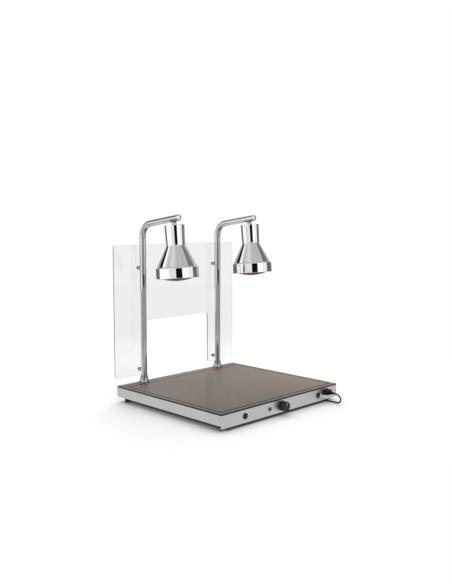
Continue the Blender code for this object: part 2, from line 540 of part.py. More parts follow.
# ---------------------------------------------------------------- lamps
for side, sx in (("left", -1), ("right", 1)):
    P = Vector((sx * POST_X, PIVOT_Y, PIVOT_Z))
    # The swivel turns about the line through the pivot, square to the arm.
    sw = empty(side + "_swivel_axis", P, (-ARM_RISE, 0, 0))
    stem = turned(side + "_swivel_stem", [(0, 0.0165), (0.0045, 0.0165), (0.0045, 0.0053), (0.0082, 0.0053),
                                          (0.0088, 0.0047), (0.0088, -0.0042), (0, -0.0042)], 20, False, parent=sw)
    slot = box("cut_" + side + "_fork_slot", (-0.0040, -0.02, -0.02), (0.0040, 0.02, 0.0038), cut=True)
    slot.parent = sw
    boolean(stem, slot)
    bm = bmesh.new()
    for s in (-1, 1):
        box_bm(bm, (-0.02, s * 0.0045 if s > 0 else -0.02, -0.02), (0.02, 0.02 if s > 0 else -0.0045, 0.0030))
    trim = mesh_object("cut_" + side + "_fork_sides", bm, cut=True)
    trim.parent = sw
    boolean(stem, trim)
    ph = rod("cut_" + side + "_fork_bore", (-0.02, 0, 0), (0.02, 0, 0), 0.0016, seg=12, cut=True)
    ph.parent = sw
    boolean(stem, ph)
    finish(stem, "chrome", 40)
    pin = rod(side + "_tilt_pin", (-0.0086, 0, 0), (0.0086, 0, 0), 0.00145, seg=12)
    pin.parent = sw
    finish(pin, "chrome", 40)

    # Everything on the lamp hangs from the tilt axis; local +Z is up the lamp axis.
    lamp = empty(side + "_tilt_axis", P, (-LAMP_TILT, 0, 0))
    T = LAMP_TOP
    tongue = turned(side + "_neck_cap", [(0, T), (0.0352, T), (0.0359, T - 0.0010), (0.0359, T - 0.0060), (0.0345, T - 0.0060),
                                         (0.0345, T - 0.0018), (0, T - 0.0018)], 24, False, parent=lamp)
    bm = bmesh.new()
    box_bm(bm, (-0.0037, -0.0034, T - 0.0009), (0.0037, 0.0034, 0.0))
    blk = mesh_object("join_" + side + "_tongue_block", bm, cut=True)
    blk.parent = lamp
    boolean(tongue, blk, "UNION")
    eye = rod("join_" + side + "_tongue_eye", (-0.0037, 0, 0), (0.0037, 0, 0), 0.0034, seg=16, cut=True)
    eye.parent = lamp
    boolean(tongue, eye, "UNION")
    hole = rod("cut_" + side + "_tongue_bore", (-0.02, 0, 0), (0.02, 0, 0), 0.0016, seg=12, cut=True)
    hole.parent = lamp
    boolean(tongue, hole)
    finish(tongue, "chrome", 40)

    z0 = T                       # neck top
    z1 = z0 - 0.0780             # neck to cone
    z2 = z0 - 0.1580             # cone to shoulder
    z3 = z0 - 0.1630             # top of the rim band
    z4 = z0 - LAMP_LEN           # rim
    t = 0.0010
    finish(turned(side + "_lamp_neck", [(0.0375, z0 - 0.0008), (0.0375, z0 - 0.0020), (0.0356, z1 + GAP), (0.0356 - t, z1 + GAP),
                                        (0.0375 - t, z0 - 0.0020), (0.0375 - t, z0 - 0.0008)], 24, True, parent=lamp), "chrome")
    finish(turned(side + "_lamp_shade", [(0.0356, z1), (0.0360, z1 - 0.0010), (0.0755, z2), (0.0790, z2 - 0.0022), (0.0805, z3),
                                         (0.0805, z4), (0.0805 - t, z4), (0.0805 - t, z3), (0.0781, z2 - 0.0026), (0.0745, z2 - 0.0006),
                                         (0.0350, z1 - 0.0022), (0.0340, z1)],
                  24, True, parent=lamp), "chrome")
    # Ceramic lamp holder under the cap, open downwards for the bulb's screw cap.
    finish(turned(side + "_lamp_socket", [(0, T - 0.0021), (0.0150, T - 0.0021), (0.0180, T - 0.0150), (0.0215, T - 0.0200),
                                          (0.0215, T - 0.0560), (0.0150, T - 0.0560), (0.0150, T - 0.0240), (0, T - 0.0240)],
                  16, False, parent=lamp), "ceramic")
    # Reflector bulb: screw cap, tapered neck, 125 mm across, its domed face just below the rim.
    outer = [(0.0040, T - 0.0265), (0.0110, T - 0.0310), (0.0132, T - 0.0330), (0.0132, T - 0.0560), (0.0165, T - 0.0640),
             (0.0200, T - 0.0800), (0.0290, T - 0.1050), (0.0545, T - 0.1540), (0.0625, T - 0.1780), (0.0610, T - 0.1890),
             (0.0560, z4 + 0.0040), (0.0400, z4 - 0.0046), (0.0200, z4 - 0.0096), (0, z4 - 0.0110)]
    inner = [(0, z4 - 0.0096), (0.0198, z4 - 0.0083), (0.0394, z4 - 0.0034), (0.0548, z4 + 0.0048), (0.0600, T - 0.1780),
             (0.0275, T - 0.1065), (0.0150, T - 0.0640), (0.0118, T - 0.0550), (0.0118, T - 0.0340), (0.0040, T - 0.0295)]
    # The glass is a thin envelope, open only at the tip of its cap.
    bm = bmesh.new()
    vs = [bm.verts.new((r, 0.0, z)) for r, z in outer]
    ws = [bm.verts.new((r, 0.0, z)) for r, z in inner]
    for run in (vs, ws, [ws[-1], vs[0]]):
        for a, b in zip(run, run[1:]):
            bm.edges.new((a, b))
    bulb = mesh_object(side + "_bulb", bm)
    s = bulb.modifiers.new("turn", "SCREW")
    s.axis = "Z"
    s.steps = 18
    s.render_steps = 18
    s.use_merge_vertices = True
    s.merge_threshold = 0.00001
    s.use_smooth_shade = True
    bulb.parent = lamp
    finish(bulb, "red")

# ---------------------------------------------------------------- mains cord
# Moulded connector in the inlet, tapered strain relief, then the cord: out, down in a U turn,
# back under the base on the standing surface, to a tied coil and the plug behind the base.
cy0 = Y_FRONT - GAP * 2 - 0.0018
conn = box("cord_connector", (INLET_X - 0.0135, cy0 - 0.0200, INLET_Z - 0.0095), (INLET_X + 0.0135, cy0, INLET_Z + 0.0095))
boolean(conn, box("join_connector_nose", (INLET_X - 0.0118, cy0 - 0.0050, INLET_Z - 0.0080),
                  (INLET_X + 0.0118, Y_FRONT + 0.0150, INLET_Z + 0.0080), cut=True), "UNION")
finish(conn, "plastic")
ry0 = cy0 - 0.0200 - GAP
finish(turned("cord_strain_relief", [(0, 0.0200), (0.0038, 0.0200), (0.0044, 0.0170), (0.0060, 0.0080), (0.0082, 0.0), (0, 0.0)],
              16, False, at=(INLET_X, ry0, INLET_Z), axis=(0, -1, 0)), "plastic")
cord_y = ry0 - 0.0200 - GAP
LOOP_X, LOOP_Y, RY = 0.0190, -0.3355, 0.0222
keys = [(INLET_X, cord_y - 0.0004, INLET_Z), (INLET_X, (cord_y + LOOP_Y) / 2, INLET_Z)]
for i in range(7):
    a = math.pi * i / 6
    f = (1 - math.cos(a)) / 2
    keys.append((INLET_X + LOOP_X * f, LOOP_Y + 0.0040 * f - RY * math.sin(a), INLET_Z + (CORD_Z - INLET_Z) * f))
keys += [(INLET_X + 0.0188, -0.300, CORD_Z), (INLET_X + 0.0175, -0.245, CORD_Z), (INLET_X + 0.0120, -0.160, CORD_Z),
         (INLET_X + 0.0020, -0.050, CORD_Z), (INLET_X - 0.0060, 0.080, CORD_Z), (INLET_X - 0.0115, 0.200, CORD_Z),
         (COIL_C[0] + 0.0462, 0.315, CORD_Z), (COIL_C[0] + 0.0456, COIL_C[1], CORD_Z)]
main = smooth_path(keys, 0.0175)
cord = sweep_mesh("power_cord", main, CORD_D / 2, 2)
finish(cord, "rubber", 50)
finish(turned("cord_coil", [(COIL_OUT - 0.003, 0.0140), (COIL_OUT, 0.0110), (COIL_OUT, 0.0048), (COIL_OUT - 0.003, 0.0018),
                            (COIL_IN + 0.003, 0.0018), (COIL_IN, 0.0048), (COIL_IN, 0.0110), (COIL_IN + 0.003, 0.0140)],
              20, True, at=(*COIL_C, 0)), "rubber")
# Round two-pin plug lying on its side, its tail against the coil's last turn.
PLUG_E = (COIL_C[0] - 0.031, COIL_C[1] + 0.0360, 0.0193)
plug = turned("mains_plug", [(0, 0.0), (0.0045, 0.0), (0.0060, -0.0180), (0.0120, -0.0240), (0.0170, -0.0270), (0.0190, -0.0310),
                             (0.0190, -0.0560), (0.0180, -0.0570), (0, -0.0570)],
              16, False, at=PLUG_E, axis=(1, 0, 0))
bm = bmesh.new()
for s in (-1, 1):
    rod_bm(bm, (PLUG_E[0] - 0.050, PLUG_E[1] + s * 0.0095, PLUG_E[2]), (PLUG_E[0] - 0.0760, PLUG_E[1] + s * 0.0095, PLUG_E[2]), 0.0024, seg=12)
boolean(plug, mesh_object("join_plug_pins", bm, cut=True), "UNION")
finish(plug, "plastic")
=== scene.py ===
# Looks for the two-lamp heated carving station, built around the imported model.
import math

import bmesh
import bpy
from mathutils import Matrix, Vector


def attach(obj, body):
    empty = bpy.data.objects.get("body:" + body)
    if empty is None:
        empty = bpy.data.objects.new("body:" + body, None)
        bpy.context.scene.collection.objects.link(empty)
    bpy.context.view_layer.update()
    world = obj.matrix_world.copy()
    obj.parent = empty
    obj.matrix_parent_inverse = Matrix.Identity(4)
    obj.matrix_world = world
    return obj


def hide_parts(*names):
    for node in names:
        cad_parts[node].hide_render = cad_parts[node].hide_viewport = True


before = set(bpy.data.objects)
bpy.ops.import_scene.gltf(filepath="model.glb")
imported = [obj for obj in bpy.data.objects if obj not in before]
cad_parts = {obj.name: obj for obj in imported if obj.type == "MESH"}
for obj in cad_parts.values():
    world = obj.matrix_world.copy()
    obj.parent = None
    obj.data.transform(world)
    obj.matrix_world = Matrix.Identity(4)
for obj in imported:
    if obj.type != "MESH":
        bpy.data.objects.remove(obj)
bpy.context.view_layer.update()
scene = bpy.context.scene

# ------------------------------------------------------------------ sizes repeated from the design
GAP = 0.0003
HALF_W, Y_FRONT, Y_REAR = 0.325, -0.2885, 0.2965
SHEET, Z_PANEL, Z_WALL, Z_STEEL, Z_GLASS, Z_TOP = 0.0015, 0.012, 0.0225, 0.0592, 0.0605, 0.0645
POST_X, POST_Y, TUBE_R, TUBE_WALL, BEND_R = 0.207, 0.274, 0.0125, 0.0015, 0.057
ARM_RISE = math.radians(7.6)
ARM_TIP_Y, ARM_TIP_Z = 0.0575, 0.725
PIVOT_Y, PIVOT_Z = 0.082, 0.7035
LAMP_TILT = math.radians(5.0)
T = -0.0060
LAMP_LEN = 0.2005
GUARD_Y, GUARD_T, GUARD_HALF, GUARD_Z0, GUARD_Z1 = 0.302, 0.004, 0.329, 0.0888, 0.6178
WINDOW_HALF, WINDOW_Z = 0.1727, 0.3108
STANDOFF_Z = (0.1135, 0.5255)
KNOB_X, KNOB_R, Y_KNOB = -0.009, 0.019, -0.3135
PILOT_X, CONTROL_Z, SWITCH_X = -0.077, 0.036, 0.206
INLET_X, INLET_Z = 0.2525, 0.043
CORD_D, CORD_Z = 0.006, 0.0031
COIL_C = (0.190, 0.350)

# ------------------------------------------------------------------ camera
cam = bpy.data.cameras.new("camera")
cam.sensor_fit = "VERTICAL"
cam.sensor_width = 36.0
cam.sensor_height = 36.0
cam.lens = 700.1 * 36.0 / 584.0
cam.clip_start, cam.clip_end = 0.05, 60.0
cam_ob = bpy.data.objects.new("camera", cam)
right = Vector((0.70727, -0.70694, 0.00052))
up = Vector((0.07192, 0.07268, 0.99476))
fwd = Vector((0.70328, 0.70353, -0.10225))
cam_ob.matrix_world = Matrix.Translation((-1.9395, -1.9266, 0.7162)) @ Matrix((
    (right.x, up.x, -fwd.x), (right.y, up.y, -fwd.y), (right.z, up.z, -fwd.z))).to_4x4()
scene.collection.objects.link(cam_ob)
scene.camera = cam_ob


# ------------------------------------------------------------------ mesh helpers
def new_object(name, me):
    ob = bpy.data.objects.new(name, me)
    scene.collection.objects.link(ob)
    return ob


def from_bm(name, bm):
    me = bpy.data.meshes.new(name)
    bm.to_mesh(me)
    bm.free()
    return new_object(name, me)


def smooth(ob, angle=35):
    ob.data.shade_smooth()
    ob.data.set_sharp_from_angle(angle=math.radians(angle))
    return ob


def apply_mods(ob):
    dg = bpy.context.evaluated_depsgraph_get()
    dg.update()
    me = bpy.data.meshes.new_from_object(ob.evaluated_get(dg))
    me.name = ob.name
    ob.modifiers.clear()
    ob.data = me
    return ob


def box_bm(bm, lo, hi):
    lo, hi = Vector(lo), Vector(hi)
    m = Matrix.Translation((lo + hi) / 2) @ Matrix.Diagonal((*(hi - lo), 1.0))
    return bmesh.ops.create_cube(bm, size=1.0, matrix=m)["verts"]


def rod_bm(bm, p0, p1, r0, r1=None, seg=32):
    p0, p1 = Vector(p0), Vector(p1)
    d = p1 - p0
    m = Matrix.Translation((p0 + p1) / 2) @ d.to_track_quat("Z", "Y").to_matrix().to_4x4()
    return bmesh.ops.create_cone(bm, cap_ends=True, segments=seg, radius1=r0,
                                 radius2=r0 if r1 is None else r1, depth=d.length, matrix=m)["verts"]


def cut(ob, bm, op="DIFFERENCE"):
    c = from_bm("tmp_cut", bm)
    m = ob.modifiers.new("b", "BOOLEAN")
    m.operation = op
    m.solver = "EXACT"
    m.object = c
    apply_mods(ob)
    bpy.data.objects.remove(c, do_unlink=True)
    return ob


def flatten(ob):
    """Large flat faces keep their own normals next to small rounded edges."""
    w = ob.modifiers.new("wn", "WEIGHTED_NORMAL")
    w.mode = "FACE_AREA"
    w.weight = 100
    w.keep_sharp = True
    return apply_mods(ob)


def bevel(ob, width, seg=2, angle=30, weld=True):
    if weld:
        bm = bmesh.new()
        bm.from_mesh(ob.data)
        bmesh.ops.remove_doubles(bm, verts=bm.verts, dist=0.000005)
        bmesh.ops.dissolve_limit(bm, angle_limit=math.radians(1), verts=bm.verts, edges=bm.edges)
        bm.to_mesh(ob.data)
        bm.free()
    b = ob.modifiers.new("bevel", "BEVEL")
    b.width = width
    b.segments = seg
    b.limit_method = "ANGLE"
    b.angle_limit = math.radians(angle)
    b.harden_normals = False
    apply_mods(ob)
    return flatten(smooth(ob, 40))


def fillet(profile, seg=4):
    """Profile of (r, z) or (r, z, radius): corners with a radius become arcs."""
    pts = [(p[0], p[1]) for p in profile]
    rad = [p[2] if len(p) > 2 else 0.0 for p in profile]
    out = []
    n = len(pts)
    for i, (p, f) in enumerate(zip(pts, rad)):
        if f <= 0 or (i in (0, n - 1)):
            out.append(p)
            continue
        a, b, c = Vector(pts[i - 1]), Vector(p), Vector(pts[(i + 1) % n])
        u, v = (a - b), (c - b)
        lu, lv = u.length, v.length
        u.normalize()
        v.normalize()
        ang = math.acos(max(-1, min(1, u.dot(v))))
        if abs(math.pi - ang) < 0.02:
            out.append(p)
            continue
        t = min(f / math.tan(ang / 2), lu * 0.49, lv * 0.49)
        r = t * math.tan(ang / 2)
        centre = b + (u + v).normalized() * (r / math.sin(ang / 2))
        s, e = b + u * t - centre, b + v * t - centre
        total = math.pi - ang
        sign = 1 if s.x * e.y - s.y * e.x > 0 else -1
        for k in range(seg + 1):
            th = sign * total * k / seg
            out.append((centre.x + s.x * math.cos(th) - s.y * math.sin(th), centre.y + s.x * math.sin(th) + s.y * math.cos(th)))
    return out


def lathe(name, profile, steps=64, closed=False, mat4=None):
    """Turns an (r, z) profile about Z; points on the axis become single vertices."""
    bm = bmesh.new()
    rings = []
    for r, z in profile:
        if r < 1e-7:
            rings.append([bm.verts.new((0, 0, z))])
        else:
            rings.append([bm.verts.new((r * math.cos(2 * math.pi * k / steps), r * math.sin(2 * math.pi * k / steps), z)) for k in range(steps)])
    pairs = list(zip(rings, rings[1:])) + ([(rings[-1], rings[0])] if closed else [])
    for a, b in pairs:
        for k in range(steps):
            k2 = (k + 1) % steps
            vs = [a[k % len(a)], b[k % len(b)], b[k2 % len(b)], a[k2 % len(a)]]
            vs = [v for i, v in enumerate(vs) if v not in vs[:i]]
            if len(vs) >= 3:
                bm.faces.new(vs)
    bmesh.ops.recalc_face_normals(bm, faces=bm.faces)
    if mat4 is not None:
        bmesh.ops.transform(bm, matrix=mat4, verts=bm.verts)
    ob = from_bm(name, bm)
    return smooth(ob, 40)


def frame_to(at, axis):
    q = Vector(axis).normalized().to_track_quat("Z", "Y")
    return Matrix.Translation(at) @ q.to_matrix().to_4x4()


def tube_bm(bm, pts, radius, sides=40, cap=True):
    """A round tube along pts with parallel frames. radius is one number or one for each point."""
    P = [Vector(p) for p in pts]
    tang = []
    for i in range(len(P)):
        a = P[max(0, i - 1)]
        b = P[min(len(P) - 1, i + 1)]
        tang.append((b - a).normalized())
    ref = Vector((1, 0, 0)) if abs(tang[0].x) < 0.9 else Vector((0, 1, 0))
    n = (ref - tang[0] * ref.dot(tang[0])).normalized()
    rings = []
    for i, (p, t) in enumerate(zip(P, tang)):
        if i:
            n = (n - t * n.dot(t)).normalized()
        b = t.cross(n)
        r = radius[i] if hasattr(radius, "__len__") else radius
        rings.append([bm.verts.new(p + (n * math.cos(a) + b * math.sin(a)) * r)
                      for a in (2 * math.pi * k / sides for k in range(sides))])
    for ra, rb in zip(rings, rings[1:]):
        for k in range(sides):
            bm.faces.new((ra[k], ra[(k + 1) % sides], rb[(k + 1) % sides], rb[k]))
    if cap:
        bm.faces.new(list(reversed(rings[0])))
        bm.faces.new(rings[-1])
    return rings


def smooth_path(keys, step):
    """Points every step along a smooth curve through keys (centripetal Catmull-Rom)."""
    P = [Vector(k) for k in keys]
    P = [P[0] * 2 - P[1]] + P + [P[-1] * 2 - P[-2]]
    dense = []
    for i in range(1, len(P) - 2):
        p0, p1, p2, p3 = P[i - 1:i + 3]
        t0 = 0.0
        t1 = t0 + math.sqrt((p1 - p0).length)
        t2 = t1 + math.sqrt((p2 - p1).length)
        t3 = t2 + math.sqrt((p3 - p2).length)
        for k in range(24):
            t = t1 + (t2 - t1) * k / 24
            a1 = p0 * ((t1 - t) / (t1 - t0)) + p1 * ((t - t0) / (t1 - t0))
            a2 = p1 * ((t2 - t) / (t2 - t1)) + p2 * ((t - t1) / (t2 - t1))
            a3 = p2 * ((t3 - t) / (t3 - t2)) + p3 * ((t - t2) / (t3 - t2))
            b1 = a1 * ((t2 - t) / (t2 - t0)) + a2 * ((t - t0) / (t2 - t0))
            b2 = a2 * ((t3 - t) / (t3 - t1)) + a3 * ((t - t1) / (t3 - t1))
            dense.append(b1 * ((t2 - t) / (t2 - t1)) + b2 * ((t - t1) / (t2 - t1)))
    dense.append(P[-2])
    lens = [0.0]
    for a, b in zip(dense, dense[1:]):
        lens.append(lens[-1] + (b - a).length)
    n = max(2, round(lens[-1] / step))
    out, j = [], 0
    for i in range(n + 1):
        s = lens[-1] * i / n
        while j < len(lens) - 2 and lens[j + 1] < s:
            j += 1
        f = (s - lens[j]) / max(1e-12, lens[j + 1] - lens[j])
        out.append(dense[j].lerp(dense[j + 1], min(1.0, f)))
    return out, lens[-1]


# ------------------------------------------------------------------ materials
class M:
    """A small builder for Principled materials with procedural detail."""

    def __init__(self, name, rgb, rough, metal=0.0, **kw):
        self.m = bpy.data.materials.new(name)
        self.m.use_nodes = True
        self.nt = self.m.node_tree
        self.b = self.nt.nodes["Principled BSDF"]
        self.b.inputs["Base Color"].default_value = (*rgb, 1)
        self.b.inputs["Roughness"].default_value = rough
        self.b.inputs["Metallic"].default_value = metal
        for k, v in kw.items():
            self.b.inputs[k.replace("_", " ")].default_value = v
        self.rgb = rgb

    def n(self, kind, **kw):
        nd = self.nt.nodes.new(kind)
        for k, v in kw.items():
            if hasattr(nd, k):
                setattr(nd, k, v)
            else:
                nd.inputs[k].default_value = v
        return nd

    def l(self, a, b):
        self.nt.links.new(a, b)

    def coords(self, scale=(1, 1, 1), rot=(0, 0, 0)):
        tc = self.n("ShaderNodeTexCoord")
        mp = self.n("ShaderNodeMapping")
        mp.inputs["Scale"].default_value = scale
        mp.inputs["Rotation"].default_value = rot
        self.l(tc.outputs["Object"], mp.inputs["Vector"])
        return mp.outputs["Vector"]

    def noise(self, vec, scale, detail=3.0, rough=0.5):
        nd = self.n("ShaderNodeTexNoise")
        nd.inputs["Scale"].default_value = scale
        nd.inputs["Detail"].default_value = detail
        nd.inputs["Roughness"].default_value = rough
        self.l(vec, nd.inputs["Vector"])
        return nd.outputs["Fac"]

    def remap(self, fac, lo, hi, a=0.3, b=0.7):
        mr = self.n("ShaderNodeMapRange")
        mr.inputs["From Min"].default_value = a
        mr.inputs["From Max"].default_value = b
        mr.inputs["To Min"].default_value = lo
        mr.inputs["To Max"].default_value = hi
        self.l(fac, mr.inputs["Value"])
        return mr.outputs["Result"]

    def mix(self, fac, ca, cb, mode="MIX"):
        mx = self.n("ShaderNodeMix")
        mx.data_type = "RGBA"
        mx.blend_type = mode
        for sock, c in ((6, ca), (7, cb)):
            if hasattr(c, "is_linked"):
                self.l(c, mx.inputs[sock])
            else:
                mx.inputs[sock].default_value = (*c, 1)
        if hasattr(fac, "is_linked"):
            self.l(fac, mx.inputs[0])
        else:
            mx.inputs[0].default_value = fac
        return mx.outputs[2]

    def color(self, sock):
        self.l(sock, self.b.inputs["Base Color"])
        return self

    def rough(self, sock):
        self.l(sock, self.b.inputs["Roughness"])
        return self

    def bump(self, fac, strength=0.1, dist=0.0002):
        bp = self.n("ShaderNodeBump")
        bp.inputs["Strength"].default_value = strength
        bp.inputs["Distance"].default_value = dist
        self.l(fac, bp.inputs["Height"])
        self.l(bp.outputs["Normal"], self.b.inputs["Normal"])
        return self


def brushed(name, stretch, rgb=(0.825, 0.806, 0.786), rough=0.34, aniso_rot=None):
    """Brushed stainless steel: fine grain lines along one axis, soft cloudy variation, faint smears."""
    m = M(name, rgb, rough, 1.0)
    grain = m.noise(m.coords(stretch), 1.0, 4.0, 0.65)
    cloud = m.noise(m.coords((1, 1, 1)), 9.0, 3.0, 0.55)
    smear = m.noise(m.coords((1, 1, 2.4)), 23.0, 4.0, 0.6)
    dark = tuple(c * 0.93 for c in rgb)
    lite = tuple(min(1, c * 1.05) for c in rgb)
    base = m.mix(m.remap(grain, 0.0, 1.0, 0.36, 0.64), dark, lite)
    m.color(m.mix(m.remap(cloud, 0.0, 0.35), base, tuple(c * 0.93 for c in rgb)))
    add = m.n("ShaderNodeMath", operation="ADD")
    m.l(m.remap(grain, rough - 0.05, rough + 0.06), add.inputs[0])
    m.l(m.remap(smear, -0.02, 0.04), add.inputs[1])
    m.rough(add.outputs[0])
    m.bump(grain, 0.10, 0.00005)
    return m.m


def chrome(name, rough=0.035, rgb=(0.88, 0.885, 0.89)):
    """Polished chrome with the faintest polishing haze and handling marks."""
    m = M(name, rgb, rough, 1.0)
    haze = m.noise(m.coords(), 34.0, 5.0, 0.62)
    fine = m.noise(m.coords((1, 1, 0.25)), 420.0, 2.0, 0.5)
    add = m.n("ShaderNodeMath", operation="ADD")
    m.l(m.remap(haze, rough * 0.6, rough * 1.7), add.inputs[0])
    m.l(m.remap(fine, 0.0, rough * 0.35), add.inputs[1])
    m.rough(add.outputs[0])
    m.color(m.mix(m.remap(haze, 0.0, 1.0), rgb, tuple(c * 0.965 for c in rgb)))
    return m.m


def moulded(name, rgb, rough, grain=1400.0, strength=0.18, wear=1.35):
    """Moulded plastic or rubber: fine spark-eroded grain, uneven sheen, slightly paler dusty patches."""
    m = M(name, rgb, rough)
    g = m.noise(m.coords(), grain, 2.0, 0.5)
    c = m.noise(m.coords(), 55.0, 4.0, 0.6)
    m.color(m.mix(m.remap(c, 0.0, 1.0, 0.4, 0.75), rgb, tuple(min(1, x * wear + 0.003) for x in rgb)))
    m.rough(m.remap(c, rough - 0.05, rough + 0.07))
    m.bump(g, strength, 0.00006)
    return m.m


steel_x = brushed("steel_brushed_x", (5, 90, 1500))        # grain along X
steel_y = brushed("steel_brushed_y", (90, 5, 1500))        # grain along Y
# zinc plating with its colour set dark: partly the plated finish, partly painted shade so the gap under the base reads
# dark
zinc = moulded("zinc_plated_sheet", (0.22, 0.222, 0.225), 0.45, 300.0, 0.05, 1.1)
zinc.node_tree.nodes["Principled BSDF"].inputs["Metallic"].default_value = 1.0
chrome_m = chrome("chrome_polished")
# painted shade: the post tubes get a darker copy of the polished chrome, so they read darker than the lamps and arm
# caps
chrome_post_shaded = chrome("chrome_tube_shaded", 0.04, (0.648, 0.648, 0.650))
chrome_in = chrome("chrome_inside_satin", 0.22, (0.80, 0.80, 0.80))
black_pl = moulded("black_plastic", (0.0045, 0.0045, 0.005), 0.34)
black_pl.node_tree.nodes["Principled BSDF"].inputs["Specular IOR Level"].default_value = 0.32
black_gl = moulded("black_gloss_plastic", (0.004, 0.004, 0.0045), 0.20, 700.0, 0.04)
black_gl.node_tree.nodes["Principled BSDF"].inputs["Specular IOR Level"].default_value = 0.30
knob_m = moulded("knob_plastic", (0.007, 0.007, 0.0075), 0.27, 900.0, 0.06)
rubber = moulded("black_rubber", (0.007, 0.007, 0.007), 0.70, 900.0, 0.3)
cord_m = moulded("cord_jacket", (0.004, 0.004, 0.0045), 0.45, 700.0, 0.10)
cord_m.node_tree.nodes["Principled BSDF"].inputs["Specular IOR Level"].default_value = 0.30
white_pl = moulded("marking_white", (0.80, 0.80, 0.78), 0.45, 800.0, 0.03, 1.0)
ceramic_m = moulded("glazed_ceramic", (0.84, 0.82, 0.77), 0.22, 120.0, 0.03, 1.02)
silicone_m = moulded("heater_silicone", (0.42, 0.11, 0.045), 0.55, 500.0, 0.4)
board_m = moulded("insulation_fibre", (0.72, 0.70, 0.64), 0.92, 260.0, 0.8)
seal_m = moulded("plate_bond", (0.020, 0.015, 0.013), 0.55, 600.0, 0.2)
edge_m = moulded("glass_ground_edge", (0.005, 0.004, 0.0035), 0.40, 800.0, 0.05)
edge_m.node_tree.nodes["Principled BSDF"].inputs["Specular IOR Level"].default_value = 0.15
chrome_dk = chrome("chrome_fittings", 0.06, (0.42, 0.40, 0.385))
brass_m = chrome("bulb_cap_metal", 0.22, (0.72, 0.66, 0.52))


def plate_material():
    """Tinted glass plate: brown-grey with faint mottling, satin sheen, and a printed dark border line."""
    m = M("tinted_plate_glass", (0.10, 0.078, 0.064), 0.17, 0.0, **{"IOR": 1.5})
    m.b.inputs["Specular IOR Level"].default_value = 0.42
    big = m.noise(m.coords(), 2.6, 2.0, 0.5)
    mid = m.noise(m.coords(), 14.0, 4.0, 0.6)
    fine = m.noise(m.coords(), 900.0, 2.0, 0.5)
    tone = m.mix(m.remap(big, 0.0, 1.0), (0.160, 0.125, 0.100), (0.225, 0.165, 0.122))
    tone = m.mix(m.remap(mid, 0.0, 0.30), tone, (0.130, 0.102, 0.084))
    # the plate tone grows darker towards the front edge and lighter and warmer towards the right end
    psep = m.n("ShaderNodeSeparateXYZ")
    ptc = m.n("ShaderNodeTexCoord")
    m.l(ptc.outputs["Object"], psep.inputs[0])
    tone = m.mix(m.remap(psep.outputs[1], 1.0, 0.0, -0.30, 0.05), tone, (0.098, 0.072, 0.054))
    tone = m.mix(m.remap(psep.outputs[0], 0.0, 0.75, -0.05, 0.30), tone, (0.235, 0.158, 0.112))
    # printed line: |x| = 0.305, y = Y_FRONT + 0.020, y = Y_REAR - 0.045, 2.4 mm wide
    sep = m.n("ShaderNodeSeparateXYZ")
    tc = m.n("ShaderNodeTexCoord")
    m.l(tc.outputs["Object"], sep.inputs[0])

    def math_(op, a, b=None, c=None):
        nd = m.n("ShaderNodeMath", operation=op)
        for i, v in enumerate((a, b, c)):
            if v is None:
                continue
            if hasattr(v, "is_linked"):
                m.l(v, nd.inputs[i])
            else:
                nd.inputs[i].default_value = v
        return nd.outputs[0]

    yc = (Y_FRONT + 0.020 + Y_REAR - 0.045) / 2
    hy = (Y_REAR - 0.045 - Y_FRONT - 0.020) / 2
    dx = math_("SUBTRACT", math_("ABSOLUTE", sep.outputs[0]), 0.305)
    dy = math_("SUBTRACT", math_("ABSOLUTE", math_("SUBTRACT", sep.outputs[1], yc)), hy)
    # distance to a rounded rectangle
    rr = 0.010
    ax = math_("MAXIMUM", math_("ADD", dx, rr), 0.0)
    ay = math_("MAXIMUM", math_("ADD", dy, rr), 0.0)
    outside = math_("SQRT", math_("ADD", math_("MULTIPLY", ax, ax), math_("MULTIPLY", ay, ay)))
    inside = math_("MINIMUM", math_("MAXIMUM", math_("ADD", dx, rr), math_("ADD", dy, rr)), 0.0)
    sd = math_("SUBTRACT", math_("ADD", outside, inside), rr)
    line = m.n("ShaderNodeMapRange", interpolation_type="SMOOTHSTEP")
    line.inputs["From Min"].default_value = 0.0026
    line.inputs["From Max"].default_value = 0.0032
    line.inputs["To Min"].default_value = 1.0
    line.inputs["To Max"].default_value = 0.0
    m.l(math_("ABSOLUTE", sd), line.inputs["Value"])
    col = m.mix(line.outputs["Result"], tone, (0.008, 0.006, 0.005))
    # painted reflection: seen in other parts' glossy reflections, the plate shows a flat dark brown instead of its own
    # colour
    lpt = m.n("ShaderNodeLightPath")
    painted_reflection_mask = math_("GREATER_THAN", math_("SUBTRACT", lpt.outputs["Is Glossy Ray"], lpt.outputs["Is Transmission Ray"]), 0.5)
    m.color(m.mix(painted_reflection_mask, col, (0.030, 0.022, 0.017)))
    m.rough(m.remap(mid, 0.13, 0.22))
    m.bump(fine, 0.06, 0.00004)
    return m.m


plate_m = plate_material()


def clear_material():
    """Clear acrylic: faint grey-green body, light handling haze."""
    m = M("clear_acrylic", (0.865, 0.87, 0.87), 0.02, 0.0, **{"IOR": 1.49})
    m.b.inputs["Transmission Weight"].default_value = 1.0
    haze = m.noise(m.coords(), 6.0, 5.0, 0.6)
    m.rough(m.remap(haze, 0.0, 0.035))
    return m.m


clear_m = clear_material()


def bulb_material():
    """Ruby stained glass of the heat bulb, glowing softly, with a faint random mottle."""
    m = M("ruby_bulb_glass", (0.16, 0.002, 0.003), 0.24, 0.0, **{"IOR": 1.5})
    mott = m.noise(m.coords(), 60.0, 3.0, 0.6)
    m.color(m.mix(m.remap(mott, 0.0, 1.0), (0.045, 0.0006, 0.0008), (0.085, 0.001, 0.0014)))
    m.rough(m.remap(mott, 0.20, 0.28))
    m.b.inputs["Emission Color"].default_value = (1.0, 0.10, 0.06, 1)
    m.b.inputs["Emission Strength"].default_value = 0.015
    m.b.inputs["Specular IOR Level"].default_value = 0.06
    m.b.inputs["Coat Weight"].default_value = 0.0
    m.b.inputs["Coat Roughness"].default_value = 0.05
    return m.m


bulb_m = bulb_material()


